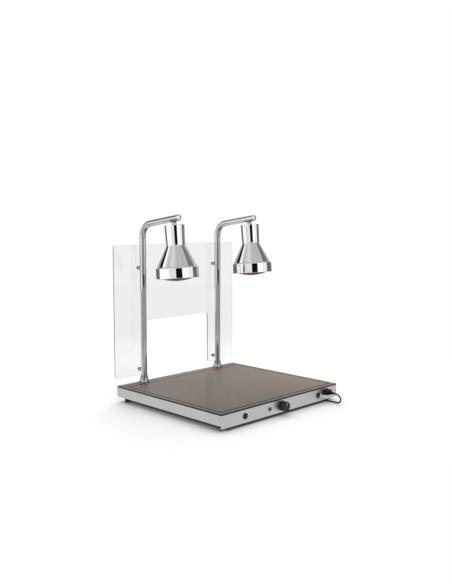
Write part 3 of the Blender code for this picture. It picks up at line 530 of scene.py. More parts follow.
def lens_material():
    m = M("pilot_lens_amber", (0.22, 0.12, 0.07), 0.22, 0.0)
    v = m.noise(m.coords(), 240.0, 2.0, 0.5)
    m.color(m.mix(m.remap(v, 0.0, 1.0), (0.16, 0.125, 0.11), (0.24, 0.19, 0.165)))
    m.bump(m.noise(m.coords((1, 1, 1)), 1600.0, 1.0), 0.25, 0.0001)
    m.b.inputs["Transmission Weight"].default_value = 0.25
    return m.m


lens_m = lens_material()


def put(ob, mat, body, slot=None, *nodes):
    ob.data.materials.clear()
    ob.data.materials.append(mat)
    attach(ob, body)
    if nodes:
        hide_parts(*nodes)
    return ob


# ------------------------------------------------------------------ mains cord (first: it settles the hidden room)
cy0 = Y_FRONT - GAP * 2 - 0.0018
ry0 = cy0 - 0.0200 - GAP
cord_y = ry0 - 0.0200 - GAP
LOOP_X, LOOP_Y, RY = 0.0190, -0.3355, 0.0222
keys = [(INLET_X, cord_y - 0.0004, INLET_Z), (INLET_X, (cord_y + LOOP_Y) / 2, INLET_Z)]
for i in range(7):
    a = math.pi * i / 6
    f = (1 - math.cos(a)) / 2
    keys.append((INLET_X + LOOP_X * f, LOOP_Y + 0.0040 * f - RY * math.sin(a), INLET_Z + (CORD_Z - INLET_Z) * f))
keys += [(INLET_X + 0.0190, -0.318, CORD_Z), (INLET_X + 0.0188, -0.300, CORD_Z), (INLET_X + 0.0175, -0.245, CORD_Z), (INLET_X + 0.0120, -0.160, CORD_Z),
         (INLET_X + 0.0020, -0.050, CORD_Z), (INLET_X - 0.0060, 0.080, CORD_Z), (INLET_X - 0.0115, 0.200, CORD_Z),
         (COIL_C[0] + 0.0462, 0.315, CORD_Z), (COIL_C[0] + 0.0450, COIL_C[1] - 0.004, CORD_Z)]
R_OUT, PITCH = 0.0390, 0.0063
TURNS_1, TURNS_X, TURNS_2 = 2.0, 0.25, 2.0
N_TURN = 14
total_turns = TURNS_1 + TURNS_X + TURNS_2
for k in range(3, int(total_turns * N_TURN) + 1):
    q = k / N_TURN
    th = 2 * math.pi * q
    if q <= TURNS_1:
        r, z = R_OUT - PITCH * q, CORD_Z
    elif q <= TURNS_1 + TURNS_X:
        f = (q - TURNS_1) / TURNS_X
        f = f * f * (3 - 2 * f)
        r, z = R_OUT - PITCH * TURNS_1, CORD_Z + 0.0062 * f
    else:
        r, z = R_OUT - PITCH * TURNS_1 + PITCH * (q - TURNS_1 - TURNS_X), CORD_Z + 0.0062
    keys.append((COIL_C[0] + r * math.cos(th), COIL_C[1] + r * math.sin(th), z))
PLUG_E = (COIL_C[0] - 0.031, COIL_C[1] + 0.0360, 0.0193)
keys += [(COIL_C[0] - 0.012, COIL_C[1] + 0.0392, 0.0118), (COIL_C[0] - 0.022, COIL_C[1] + 0.0375, 0.0165), PLUG_E]
path, cord_len = smooth_path(keys, 0.0048)
path = [Vector((p.x, p.y, max(p.z, CORD_Z))) for p in path]
cu = bpy.data.curves.new("mains_cord", "CURVE")
cu.dimensions = "3D"
cu.bevel_depth = CORD_D / 2
cu.bevel_resolution = 4
cu.use_fill_caps = True
sp = cu.splines.new("POLY")
sp.points.add(len(path) - 1)
for p, q in zip(sp.points, path):
    p.co = (*q, 1)
cord = new_object("mains_cord", cu)
cu.materials.append(cord_m)
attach(cord, "base")
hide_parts("power_cord", "cord_coil")

# connector body with grip ribs
bm = bmesh.new()
box_bm(bm, (INLET_X - 0.0134, cy0 - 0.0199, INLET_Z - 0.0094), (INLET_X + 0.0134, cy0, INLET_Z + 0.0094))
conn = from_bm("connector_body", bm)
bm = bmesh.new()
for sx in (-1, 1):
    for k in range(4):
        y = cy0 - 0.006 - k * 0.0032
        box_bm(bm, (INLET_X + sx * 0.0134 - 0.0007, y - 0.0007, INLET_Z - 0.0070), (INLET_X + sx * 0.0134 + 0.0007, y + 0.0007, INLET_Z + 0.0070))
cut(conn, bm)
bevel(conn, 0.0007, 2)
put(conn, black_pl, "base", "black_plastic", "cord_connector")
bm = bmesh.new()
box_bm(bm, (INLET_X - 0.0118, cy0 - 0.0010, INLET_Z - 0.0080), (INLET_X + 0.0118, Y_FRONT + 0.0148, INLET_Z + 0.0080))
put(bevel(from_bm("connector_nose", bm), 0.0008, 2), black_pl, "base", "black_plastic")
# ribbed, tapered strain relief
prof = [(0, -0.0010), (0.0080, -0.0010), (0.0080, 0.0004)]
for k in range(6):
    z = 0.0020 + k * 0.0030
    r = 0.0077 - 0.0039 * (z / 0.020) ** 0.75
    prof += [(r, z - 0.0007), (r, z + 0.0007), (r - 0.0008, z + 0.0010), (r - 0.0008, z + 0.0019)]
prof += [(0.0037, 0.0198), (0, 0.0198)]
relief = lathe("strain_relief_boot", prof, 40, False, frame_to((INLET_X, ry0, INLET_Z), (0, -1, 0)))
put(relief, cord_m, "base", "black_plastic", "cord_strain_relief")
# plug, on its side behind the base
prof = fillet([(0, 0.0002), (0.0046, 0.0002, 0.0008), (0.0052, -0.0030), (0.0058, -0.0178, 0.003), (0.0120, -0.0240, 0.004), (0.0168, -0.0268, 0.003),
               (0.0189, -0.0312, 0.002), (0.0189, -0.0558, 0.0012), (0.0150, -0.0568), (0, -0.0568)], 5)
plug = lathe("plug_body", prof, 56, False, frame_to(PLUG_E, (1, 0, 0)))
bm = bmesh.new()
for k in range(16):
    a = 2 * math.pi * k / 16
    c = Vector(PLUG_E) + Vector((-0.044, 0.0193 * math.cos(a), 0.0193 * math.sin(a)))
    rod_bm(bm, c - Vector((0.009, 0, 0)), c + Vector((0.009, 0, 0)), 0.0009, seg=10)
cut(plug, bm)
smooth(plug, 40)
put(plug, black_pl, "base", "black_plastic", "mains_plug")
for s, tag in ((-1, "a"), (1, "b")):
    prof = fillet([(0, 0.0), (0.0024, 0.0), (0.0024, 0.0183, 0.0014), (0, 0.0190)], 5)
    pin = lathe("plug_pin_" + tag, prof, 28, False, frame_to((PLUG_E[0] - 0.0569, PLUG_E[1] + s * 0.0095, PLUG_E[2]), (-1, 0, 0)))
    put(pin, brass_m, "base", "zinc_sheet")
# tie round the bundle
bm = bmesh.new()
tx0, tx1 = COIL_C[0] - R_OUT - 0.0046, COIL_C[0] - R_OUT + 2 * PITCH + 0.0046
tz0, tz1 = 0.00005, CORD_Z + 0.0062 + 0.0042
box_bm(bm, (tx0, COIL_C[1] - 0.0045, tz0), (tx1, COIL_C[1] + 0.0045, tz1))
tie = from_bm("coil_tie", bm)
bm = bmesh.new()
box_bm(bm, (tx0 + 0.0008, COIL_C[1] - 0.01, tz0 + 0.0008 - 0.0008 + 0.00005), (tx1 - 0.0008, COIL_C[1] + 0.01, tz1 - 0.0008))
tie_cut = bm
bm2 = bmesh.new()
box_bm(bm2, (tx0 + 0.0009, COIL_C[1] - 0.01, tz0 - 0.001), (tx1 - 0.0009, COIL_C[1] + 0.01, tz1 - 0.0009))
tie_cut.free()
cut(tie, bm2)
bevel(tie, 0.0006, 2)
put(tie, rubber, "base", "black_plastic")

# ------------------------------------------------------------------ base casing
# folded housing: walls, top frame and bottom lips with rounded folds
wall_y0 = Y_FRONT + SHEET + GAP
bm = bmesh.new()
box_bm(bm, (-HALF_W + 0.0002, wall_y0, Z_WALL), (HALF_W - 0.0002, Y_REAR - 0.0002, Z_STEEL))
hs = from_bm("housing_sheet", bm)
bm = bmesh.new()
box_bm(bm, (-HALF_W + SHEET, wall_y0 - 0.01, Z_WALL + SHEET), (HALF_W - SHEET, Y_REAR - SHEET, Z_STEEL - SHEET))
cut(hs, bm)
bm = bmesh.new()
box_bm(bm, (-HALF_W + 0.018, wall_y0 - 0.01, Z_WALL - 0.01), (HALF_W - 0.018, Y_REAR - 0.018, Z_WALL + 0.01))
cut(hs, bm)
bm = bmesh.new()
box_bm(bm, (-0.300, -0.262, Z_STEEL - 0.005), (0.300, 0.236, Z_STEEL + 0.005))
for sx in (-1, 1):
    rod_bm(bm, (sx * POST_X, POST_Y, Z_STEEL - 0.01), (sx * POST_X, POST_Y, Z_STEEL + 0.01), 0.0088, seg=32)
cut(hs, bm)
# vent louvres in the rear wall
bm = bmesh.new()
for g in (-1, 1):
    for k in range(9):
        x = g * 0.155 + (k - 4) * 0.0095
        box_bm(bm, (x - 0.0015, Y_REAR - 0.01, 0.031), (x + 0.0015, Y_REAR + 0.01, 0.050))
cut(hs, bm)
bevel(hs, 0.0007, 2, 50)
# the side walls are brushed along Y, the rear wall along X
hs.data.materials.clear()
hs.data.materials.append(steel_y)
hs.data.materials.append(steel_x)
for p in hs.data.polygons:
    p.material_index = 1 if abs(p.normal.y) > 0.7 else 0
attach(hs, "base")
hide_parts("base_housing")

bm = bmesh.new()
box_bm(bm, (-HALF_W + 0.0001, Y_FRONT + 0.0001, Z_PANEL), (HALF_W - 0.0001, Y_FRONT + 0.012, Z_STEEL))
fp = from_bm("front_panel_sheet", bm)
bm = bmesh.new()
box_bm(bm, (-HALF_W - 0.01, Y_FRONT + SHEET, Z_PANEL + SHEET), (HALF_W + 0.01, Y_FRONT + 0.03, Z_STEEL + 0.01))
cut(fp, bm)
bm = bmesh.new()
for x, r in ((-SWITCH_X, 0.0101), (SWITCH_X, 0.0101), (PILOT_X, 0.0056), (KNOB_X, 0.0050)):
    rod_bm(bm, (x, Y_FRONT - 0.01, CONTROL_Z), (x, Y_FRONT + 0.01, CONTROL_Z), r, seg=40)
box_bm(bm, (INLET_X - 0.0138, Y_FRONT - 0.01, INLET_Z - 0.0103), (INLET_X + 0.0138, Y_FRONT + 0.01, INLET_Z + 0.0103))
cut(fp, bm)
bevel(fp, 0.0006, 2, 50)
put(fp, steel_x, "base", "brushed_steel", "front_control_panel")

# bottom cover with louvre slots and screws
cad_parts["bottom_cover"].data.materials.clear()
bm = bmesh.new()
box_bm(bm, (-0.3225, -0.2745, Z_WALL - GAP - 0.0012), (0.3225, 0.2940, Z_WALL - GAP))
bc = from_bm("bottom_cover_sheet", bm)
bm = bmesh.new()
for sy in (-1, 1):
    for i in range(7):
        x = (i - 3) * 0.036
        box_bm(bm, (x - 0.003, sy * 0.12 - 0.027, 0.015), (x + 0.003, sy * 0.12 + 0.027, 0.030))
        for e in (-1, 1):
            rod_bm(bm, (x, sy * 0.12 + e * 0.027, 0.015), (x, sy * 0.12 + e * 0.027, 0.030), 0.003, seg=16)
# slots are cut as boxes with round ends, each end its own cutter body
bm.free()
for part_ in ("box", "round"):
    bm = bmesh.new()
    for sy in (-1, 1):
        for i in range(7):
            x = (i - 3) * 0.036
            if part_ == "box":
                box_bm(bm, (x - 0.003, sy * 0.12 - 0.027, 0.015), (x + 0.003, sy * 0.12 + 0.027, 0.030))
            else:
                for e in (-1, 1):
                    rod_bm(bm, (x, sy * 0.12 + e * 0.027, 0.015), (x, sy * 0.12 + e * 0.027, 0.030), 0.003, seg=16)
    cut(bc, bm)
bevel(bc, 0.0003, 1, 50)
put(bc, zinc, "base", "zinc_sheet", "bottom_cover")


def pan_screw(name, at, axis, r, h, mat, body, slot_, cross=True):
    """Pan head screw with a cross recess."""
    prof = fillet([(0, h), (r * 0.45, h * 0.98), (r * 0.85, h * 0.72, r * 0.3), (r, h * 0.25, r * 0.1), (r, 0.0), (0, 0.0)], 4)
    ob = lathe(name, prof, 32, False)
    if cross:
        bm = bmesh.new()
        box_bm(bm, (-r * 0.5, -r * 0.09, h * 0.45), (r * 0.5, r * 0.09, h * 1.5))
        cut(ob, bm)
        bm = bmesh.new()
        box_bm(bm, (-r * 0.09, -r * 0.5, h * 0.45), (r * 0.09, r * 0.5, h * 1.5))
        cut(ob, bm)
    ob.data.transform(frame_to(at, axis))
    smooth(ob, 40)
    return put(ob, mat, body, slot_)


cover_z0 = Z_WALL - GAP - 0.0012
n_s = 0
for sx in (-1, 1):
    for y in (-0.215, 0.010, 0.225):
        n_s += 1
        pan_screw("cover_screw_%d" % n_s, (sx * 0.3140, y, cover_z0), (0, 0, -1), 0.0036, 0.0020, zinc, "base", "zinc_sheet")
    n_s += 1
    pan_screw("cover_screw_%d" % n_s, (sx * 0.130, Y_REAR - 0.0110, cover_z0), (0, 0, -1), 0.0036, 0.0020, zinc, "base", "zinc_sheet")

# feet, with a sunk screw in each
for name, x, y in (("foot_front_left", -0.297, -0.2595), ("foot_front_right", 0.297, -0.2595),
                   ("foot_rear_left", -0.297, 0.2665), ("foot_rear_right", 0.297, 0.2665)):
    zt = cover_z0 - GAP
    prof = fillet([(0, 0.0080), (0.0052, 0.0080, 0.0006), (0.0052, 0.0, 0.0006), (0.0104, 0.0, 0.0016), (0.0124, zt, 0.0010), (0, zt)], 5)
    put(lathe(name + "_rubber", prof, 48, False, Matrix.Translation((x, y, 0))), rubber, "base", "rubber", name)
    pan_screw(name + "_screw", (x, y, 0.0079), (0, 0, -1), 0.0040, 0.0022, zinc, "base", "zinc_sheet")

# glass plate with ground edges and post holes, on its bond line
bm = bmesh.new()
box_bm(bm, (-HALF_W, Y_FRONT, Z_GLASS), (HALF_W, Y_REAR, Z_TOP))
es = [e for e in bm.edges if abs(e.verts[0].co.z - e.verts[1].co.z) > 0.001]
bmesh.ops.bevel(bm, geom=es, offset=0.0025, segments=5, profile=0.5, affect="EDGES")
gp = from_bm("glass_plate", bm)
bm = bmesh.new()
for sx in (-1, 1):
    rod_bm(bm, (sx * POST_X, POST_Y, 0.05), (sx * POST_X, POST_Y, 0.08), 0.0088, seg=32)
cut(gp, bm)
bevel(gp, 0.0007, 3, 50)
put(gp, plate_m, "base", "plate_glass", "hot_plate_glass")
gp.data.materials.append(edge_m)
for p in gp.data.polygons:
    p.material_index = 1 if abs(p.normal.z) < 0.5 else 0
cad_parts["plate_seal"].data.materials.clear()
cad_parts["plate_seal"].data.materials.append(seal_m)

for node, mt in (("heating_mat", silicone_m), ("insulation_board", board_m), ("thermostat_body", zinc), ("thermostat_shaft", zinc),
                 ("left_post_stud", zinc), ("right_post_stud", zinc), ("left_post_nut", zinc), ("right_post_nut", zinc),
                 ("wiring_loom", cord_m), ("power_inlet", black_pl),
                 ("left_lamp_socket", ceramic_m), ("right_lamp_socket", ceramic_m)):
    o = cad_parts[node]
    o.data.materials.clear()
    o.data.materials.append(mt)

# ------------------------------------------------------------------ controls
KF = frame_to((KNOB_X, Y_FRONT, CONTROL_Z), (0, -1, 0))
KF = Matrix.Translation((KNOB_X, Y_FRONT, CONTROL_Z)) @ Matrix.Rotation(math.radians(90), 4, "X")   # local +Z out, +Y up
L = Y_FRONT - Y_KNOB
bm = bmesh.new()
FL, PER = 15, 12
ring_z = [(0.0055, 0.0), (0.0068, 0.0), (L - 0.0016, 0.0004), (L - 0.0006, 0.0009), (L - 0.0001, 0.0019)]
rings = []
for z, inset in ring_z:
    rg = []
    for i in range(FL * PER):
        a = 2 * math.pi * i / (FL * PER)
        depth = 0.0017 * (0.5 - 0.5 * math.cos(FL * a)) ** 1.6
        r = KNOB_R - 0.0003 - 0.0006 * (z / L) - inset - depth
        rg.append(bm.verts.new((r * math.cos(a), r * math.sin(a), z)))
    rings.append(rg)
rg = []
for i in range(FL * PER):
    a = 2 * math.pi * i / (FL * PER)
    rg.append(bm.verts.new((0.0148 * math.cos(a), 0.0148 * math.sin(a), L - 0.0002)))
rings.append(rg)
for ra, rb in zip(rings, rings[1:]):
    for k in range(FL * PER):
        k2 = (k + 1) % (FL * PER)
        bm.faces.new((ra[k], ra[k2], rb[k2], rb[k]))
bm.faces.new(list(reversed(rings[0])))
bm.faces.new(rings[-1])
bmesh.ops.transform(bm, matrix=KF, verts=bm.verts)
grip = smooth(from_bm("knob_grip", bm), 50)
bm = bmesh.new()
vs = box_bm(bm, (-0.0009, 0.0040, L - 0.0009), (0.0009, 0.0140, L + 0.01))
bmesh.ops.transform(bm, matrix=KF, verts=bm.verts)
cut(grip, bm)
smooth(grip, 45)
put(grip, knob_m, "knob", "black_plastic", "thermostat_knob")
prof = fillet([(0.0074, 0.0012), (0.0186, 0.0012, 0.0004), (0.0190, 0.0020, 0.0004), (0.0190, 0.0058, 0.0012), (0.0150, 0.0072), (0.0074, 0.0072)], 4)
put(lathe("knob_skirt", list(reversed(prof)), 72, True, KF), black_gl, "knob", "black_plastic")
bm = bmesh.new()
vs = box_bm(bm, (-0.00075, 0.0042, L - 0.00085), (0.00075, 0.0138, L - 0.00025))
bmesh.ops.transform(bm, matrix=KF, verts=bm.verts)
put(bevel(from_bm("knob_pointer_line", bm), 0.0001, 1), white_pl, "knob")
# small scale dots round the knob on the panel, every fifth one larger
for k in range(11):
    a = math.radians(225 - 27 * k)
    c = Vector((KNOB_X + 0.0225 * math.cos(a), Y_FRONT - 0.00012, CONTROL_Z + 0.0225 * math.sin(a)))
    if c.z > Z_STEEL - 0.001 or c.z < Z_PANEL + 0.001:
        continue
    put(lathe("scale_dot_%d" % k, [(0, 0.00012), (0.0006 if k % 5 else 0.0009, 0.00010), (0.0006 if k % 5 else 0.0009, -0.0002), (0, -0.0002)], 14, False,
              frame_to(c, (0, -1, 0))), black_gl, "base")

PF = frame_to((PILOT_X, Y_FRONT - GAP, CONTROL_Z), (0, -1, 0))
prof = fillet([(0.0074, 0.0, 0.0002), (0.0053, 0.0), (0.0053, -0.0140), (0.0042, -0.0140), (0.0042, 0.0014, 0.0003), (0.0060, 0.0020, 0.0006), (0.0074, 0.0008, 0.0004)], 4)
put(lathe("pilot_bezel_ring", prof, 44, True, PF), black_pl, "base", "black_plastic", "pilot_light_bezel")
prof = [(0, 0.0031), (0.0010, 0.00305), (0.0022, 0.0028), (0.0031, 0.0023), (0.0036, 0.0017), (0.0039, 0.0009), (0.0039, -0.0118), (0, -0.0118)]
put(lathe("pilot_lens_dome", prof, 36, False, PF), lens_m, "base", "pilot_lens", "pilot_light_lens")

ROCK = math.radians(7)
for side, sx in (("left", -1), ("right", 1)):
    SF = frame_to((sx * SWITCH_X, Y_FRONT - GAP, CONTROL_Z), (0, -1, 0))
    prof = fillet([(0, -0.0110), (0.0083, -0.0110), (0.0083, 0.0022, 0.0005), (0.0100, 0.0022, 0.0008), (0.0113, 0.0013, 0.0006), (0.0113, 0.0),
                   (0.0098, 0.0), (0.0098, -0.0200, 0.0006), (0, -0.0200)], 4)
    put(lathe(side + "_switch_bezel", prof, 56, False, SF), black_gl, "base", "black_plastic", side + "_switch_body")
    # rocker: a disc-shaped paddle with a curved V face, on its axis
    AX = Matrix.Translation((sx * SWITCH_X, Y_FRONT + 0.0045, CONTROL_Z)) @ Matrix.Rotation(ROCK, 4, "X")
    bm = bmesh.new()
    rod_bm(bm, (0, 0.0044, 0), (0, -0.0089, 0), 0.0071, seg=48)
    rk = from_bm(side + "_rocker_paddle", bm)
    for s in (1, -1):
        bm = bmesh.new()
        vs = box_bm(bm, (-0.02, -0.02, min(0, s * 0.03)), (0.02, 0, max(0, s * 0.03)))
        bmesh.ops.transform(bm, matrix=Matrix.Translation((0, -0.0063, 0)) @ Matrix.Rotation(s * math.radians(10), 4, "X"), verts=vs)
        cut(rk, bm)
    rk.data.transform(AX)
    bevel(rk, 0.0004, 3, 25)
    put(rk, black_gl, side + "_rocker", "black_plastic", side + "_switch_rocker")
    # printed marks: a bar above and a ring below
    for tag, z, bar in (("on", 0.0036, True), ("off", -0.0036, False)):
        y = -0.0063 - abs(z) * math.tan(math.radians(10)) - 0.00004
        nrm = Vector((0, -math.cos(math.radians(10)), (-1 if z > 0 else 1) * math.sin(math.radians(10))))
        F = AX @ frame_to((0, y, z), nrm)
        if bar:
            bm = bmesh.new()
            box_bm(bm, (-0.0003, -0.0014, -0.0001), (0.0003, 0.0014, 0.00006))
            bmesh.ops.transform(bm, matrix=F, verts=bm.verts)
            mk = from_bm(side + "_mark_" + tag, bm)
        else:
            mk = lathe(side + "_mark_" + tag, [(0.0015, 0.00006), (0.0015, -0.0001), (0.0011, -0.0001), (0.0011, 0.00006)], 32, True, F)
        put(mk, white_pl, side + "_rocker")

# ------------------------------------------------------------------ posts
corner_z = ARM_TIP_Z - math.tan(ARM_RISE) * (POST_Y - ARM_TIP_Y)
turn = math.pi / 2 - ARM_RISE
tangent = BEND_R * math.tan(turn / 2)
line = [(0, POST_Y, Z_TOP + GAP + 0.0005)]
z_b = corner_z - tangent
for k in range(1, 25):
    line.append((0, POST_Y, Z_TOP + GAP + 0.0005 + (z_b - Z_TOP) * k / 25))
for i in range(33):
    a = turn * i / 32
    line.append((0, POST_Y - BEND_R * (1 - math.cos(a)), z_b + BEND_R * math.sin(a)))
p_last = Vector(line[-1])
tip = Vector((0, ARM_TIP_Y, ARM_TIP_Z))
for k in range(1, 7):
    line.append(tuple(p_last.lerp(tip, k / 6)))
arm_dir = Vector((0, -math.cos(ARM_RISE), math.sin(ARM_RISE)))
arm_up = Vector((0, math.sin(ARM_RISE), math.cos(ARM_RISE)))
pivot = Vector((0, PIVOT_Y, PIVOT_Z))
for side, sx in (("left", -1), ("right", 1)):
    off = Vector((sx * POST_X, 0, 0))
    bm = bmesh.new()
    P = [Vector(p) + off for p in line]
    outer = tube_bm(bm, P, TUBE_R, 56, cap=False)
    inner = tube_bm(bm, P, TUBE_R - TUBE_WALL, 56, cap=False)
    for a, b in ((outer[0], inner[0]), (outer[-1], inner[-1])):
        for k in range(56):
            bm.faces.new((a[k], a[(k + 1) % 56], b[(k + 1) % 56], b[k]))
    bmesh.ops.recalc_face_normals(bm, faces=bm.faces)
    tube = smooth(from_bm(side + "_tube", bm), 50)
    bm = bmesh.new()
    rod_bm(bm, off + pivot, off + pivot + arm_up * 0.012, 0.0049, seg=28)
    cut(tube, bm)
    smooth(tube, 50)
    put(tube, chrome_post_shaded, "base", "chrome", side + "_post_tube")
    # trumpet flange
    r0, r1, h = 0.0212, 0.0146, 0.0285
    prof = [(TUBE_R + 0.0002, 0.0), (TUBE_R + 0.0002, h - 0.0004), (r1 - 0.0009, h), (r1 - 0.0003, h - 0.0002), (r1, h - 0.0008)]
    for i in range(1, 24):
        t_ = i / 24
        prof.append((r1 + (r0 - 0.0004 - r1) * t_ ** 2.6, h - 0.0008 - (h - 0.0032) * t_))
    prof += [(r0 - 0.0001, 0.0026), (r0, 0.0020), (r0, 0.0004), (r0 - 0.0003, 0.0)]
    fl = lathe(side + "_flange", prof, 72, True, Matrix.Translation((sx * POST_X, POST_Y, Z_TOP + GAP)))
    for az in (-135, -45, 90):
        d = Vector((math.cos(math.radians(az)), math.sin(math.radians(az)), 0))
        c = Vector((sx * POST_X, POST_Y, Z_TOP + GAP + 0.0125))
        bm = bmesh.new()
        rod_bm(bm, c + d * 0.0135, c + d * 0.030, 0.0026, seg=24)
        cut(fl, bm)
    smooth(fl, 35)
    put(fl, chrome_dk, "base", "chrome", side + "_post_flange")
    for az in (-135, -45, 90):
        d = Vector((math.cos(math.radians(az)), math.sin(math.radians(az)), 0))
        c = Vector((sx * POST_X, POST_Y, Z_TOP + GAP + 0.0125))
        prof = fillet([(0, 0.0), (0.0011, 0.0), (0.0011, 0.0014), (0.0019, 0.0014), (0.0024, 0.0010), (0.0024, -0.0010), (0, -0.0010)], 2)
        grub = lathe("%s_grub_screw_%d" % (side, (az + 360) % 360), prof, 24, False, frame_to(c + d * 0.0148, d))
        put(grub, black_pl, "base", "black_plastic")
    # rubber washer under the flange is the CAD gap; domed end cap of the arm
    R = TUBE_R
    prof = [(0, 0.0059)]
    for i in range(1, 13):
        a = math.pi / 2 * i / 13
        prof.append((R * math.sin(a), 0.0009 + 0.0050 * math.cos(a)))
    prof += [(R, 0.0009), (R, 0.0002), (R - 0.0002, 0.0001), (R - TUBE_WALL - 0.0004, 0.0001), (R - TUBE_WALL - 0.0004, -0.0100), (0, -0.0100)]
    put(lathe(side + "_cap", prof, 56, False, frame_to(off + tip, arm_dir)), chrome_m, "base", "chrome", side + "_arm_cap")

# ------------------------------------------------------------------ rear guard
bm = bmesh.new()


def rounded(corners, radius, seg):
    """Outline points of a polygon with every corner rounded by the same radius."""
    out = []
    n = len(corners)
    for i, c in enumerate(corners):
        a, b, d = Vector(corners[i - 1][:2]), Vector(c[:2]), Vector(corners[(i + 1) % n][:2])
        u, v = (a - b).normalized(), (d - b).normalized()
        r = radius
        s, e = b + u * r, b + v * r
        centre = b + u * r + v * r
        a0 = math.atan2((s - centre).y, (s - centre).x)
        a1 = math.atan2((e - centre).y, (e - centre).x)
        while a1 - a0 > math.pi:
            a1 -= 2 * math.pi
        while a1 - a0 < -math.pi:
            a1 += 2 * math.pi
        for k in range(seg + 1):
            t_ = a0 + (a1 - a0) * k / seg
            out.append((centre.x + r * math.cos(t_), centre.y + r * math.sin(t_)))
    return out


ol = rounded([(-GUARD_HALF, GUARD_Z0), (-WINDOW_HALF, GUARD_Z0), (-WINDOW_HALF, WINDOW_Z), (WINDOW_HALF, WINDOW_Z),
              (WINDOW_HALF, GUARD_Z0), (GUARD_HALF, GUARD_Z0), (GUARD_HALF, GUARD_Z1), (-GUARD_HALF, GUARD_Z1)], 0.012, 8)
vs = [bm.verts.new((x, GUARD_Y, z)) for x, z in ol]
face = bm.faces.new(vs)
ext = bmesh.ops.extrude_face_region(bm, geom=[face])
bmesh.ops.translate(bm, verts=[g for g in ext["geom"] if isinstance(g, bmesh.types.BMVert)], vec=(0, GUARD_T, 0))
bmesh.ops.recalc_face_normals(bm, faces=bm.faces)
gd = from_bm("guard_sheet", bm)
bm = bmesh.new()
for sx in (-1, 1):
    for z in STANDOFF_Z:
        rod_bm(bm, (sx * POST_X, GUARD_Y - 0.01, z), (sx * POST_X, GUARD_Y + 0.02, z), 0.0030, seg=24)
cut(gd, bm)
b = gd.modifiers.new("bevel", "BEVEL")
b.width = 0.0004
b.segments = 2
b.limit_method = "ANGLE"
b.angle_limit = math.radians(60)
apply_mods(gd)
flatten(smooth(gd, 40))
put(gd, clear_m, "base", "clear_acrylic", "guard_panel")

# printed border line on the plate, a film 0.04 mm thick
line_m = moulded("plate_line_ink", (0.012, 0.010, 0.009), 0.6)
for nd in line_m.node_tree.nodes:
    if nd.type == "BSDF_PRINCIPLED":
        nd.inputs["Specular IOR Level"].default_value = 0.1
LY = (Y_FRONT + 0.020 + Y_REAR - 0.045) / 2
LH = (Y_REAR - 0.045 - Y_FRONT - 0.020) / 2
bm = bmesh.new()
rings = []
for off_, z in ((0.0023, Z_TOP - 0.0003), (0.0023, Z_TOP + 0.00004), (-0.0023, Z_TOP + 0.00004), (-0.0023, Z_TOP - 0.0003)):
    pts = rounded([(-0.305 - off_, LY - LH - off_), (0.305 + off_, LY - LH - off_), (0.305 + off_, LY + LH + off_),
                   (-0.305 - off_, LY + LH + off_)], 0.010 + off_, 8)
    rings.append([bm.verts.new((x, y, z)) for x, y in pts])
for i in range(4):
    p, q = rings[i], rings[(i + 1) % 4]
    for k in range(len(p)):
        bm.faces.new((p[k], p[(k + 1) % len(p)], q[(k + 1) % len(p)], q[k]))
bmesh.ops.recalc_face_normals(bm, faces=bm.faces)
put(from_bm("plate_border_line", bm), line_m, "base", "plate_glass")
back = GUARD_Y + GUARD_T
for side, sx in (("left", -1), ("right", 1)):
    for level, z in zip(("lower", "upper"), STANDOFF_Z):
        tag = level + "_" + side
        x = sx * POST_X
        y0, y1 = POST_Y + TUBE_R + GAP, GUARD_Y - GAP
        ln = y1 - y0
        prof = fillet([(0.0029, ln), (0.0075, ln, 0.0006), (0.0075, ln * 0.55, 0.0003), (0.0069, ln * 0.50, 0.0003), (0.0069, ln * 0.36, 0.0003),
                       (0.0075, ln * 0.31, 0.0003), (0.0075, 0.0, 0.0006), (0.0029, 0.0)], 4)
        st = lathe("spacer_" + tag, prof, 48, True, frame_to((x, y0, z), (0, 1, 0)))
        put(st, chrome_dk, "base", "chrome", "guard_standoff_" + tag)
        h = 0.3135 - back - GAP
        prof = fillet([(0, h), (0.0022, h * 0.985), (0.0046, h * 0.80, 0.0012), (0.0070, h * 0.30, 0.0012), (0.0072, 0.0), (0.0025, 0.0),
                       (0.0025, -0.0300), (0, -0.0300)], 5)
        sc = lathe("guard_cap_screw_" + tag, prof, 40, False, frame_to((x, back + GAP, z), (0, 1, 0)))
        bm = bmesh.new()
        rod_bm(bm, (x, back + GAP + h * 0.55, z), (x, back + GAP + h * 2, z), 0.0021, seg=6)
        cut(sc, bm)
        smooth(sc, 40)
        put(sc, chrome_dk, "base", "chrome", "guard_screw_" + tag)

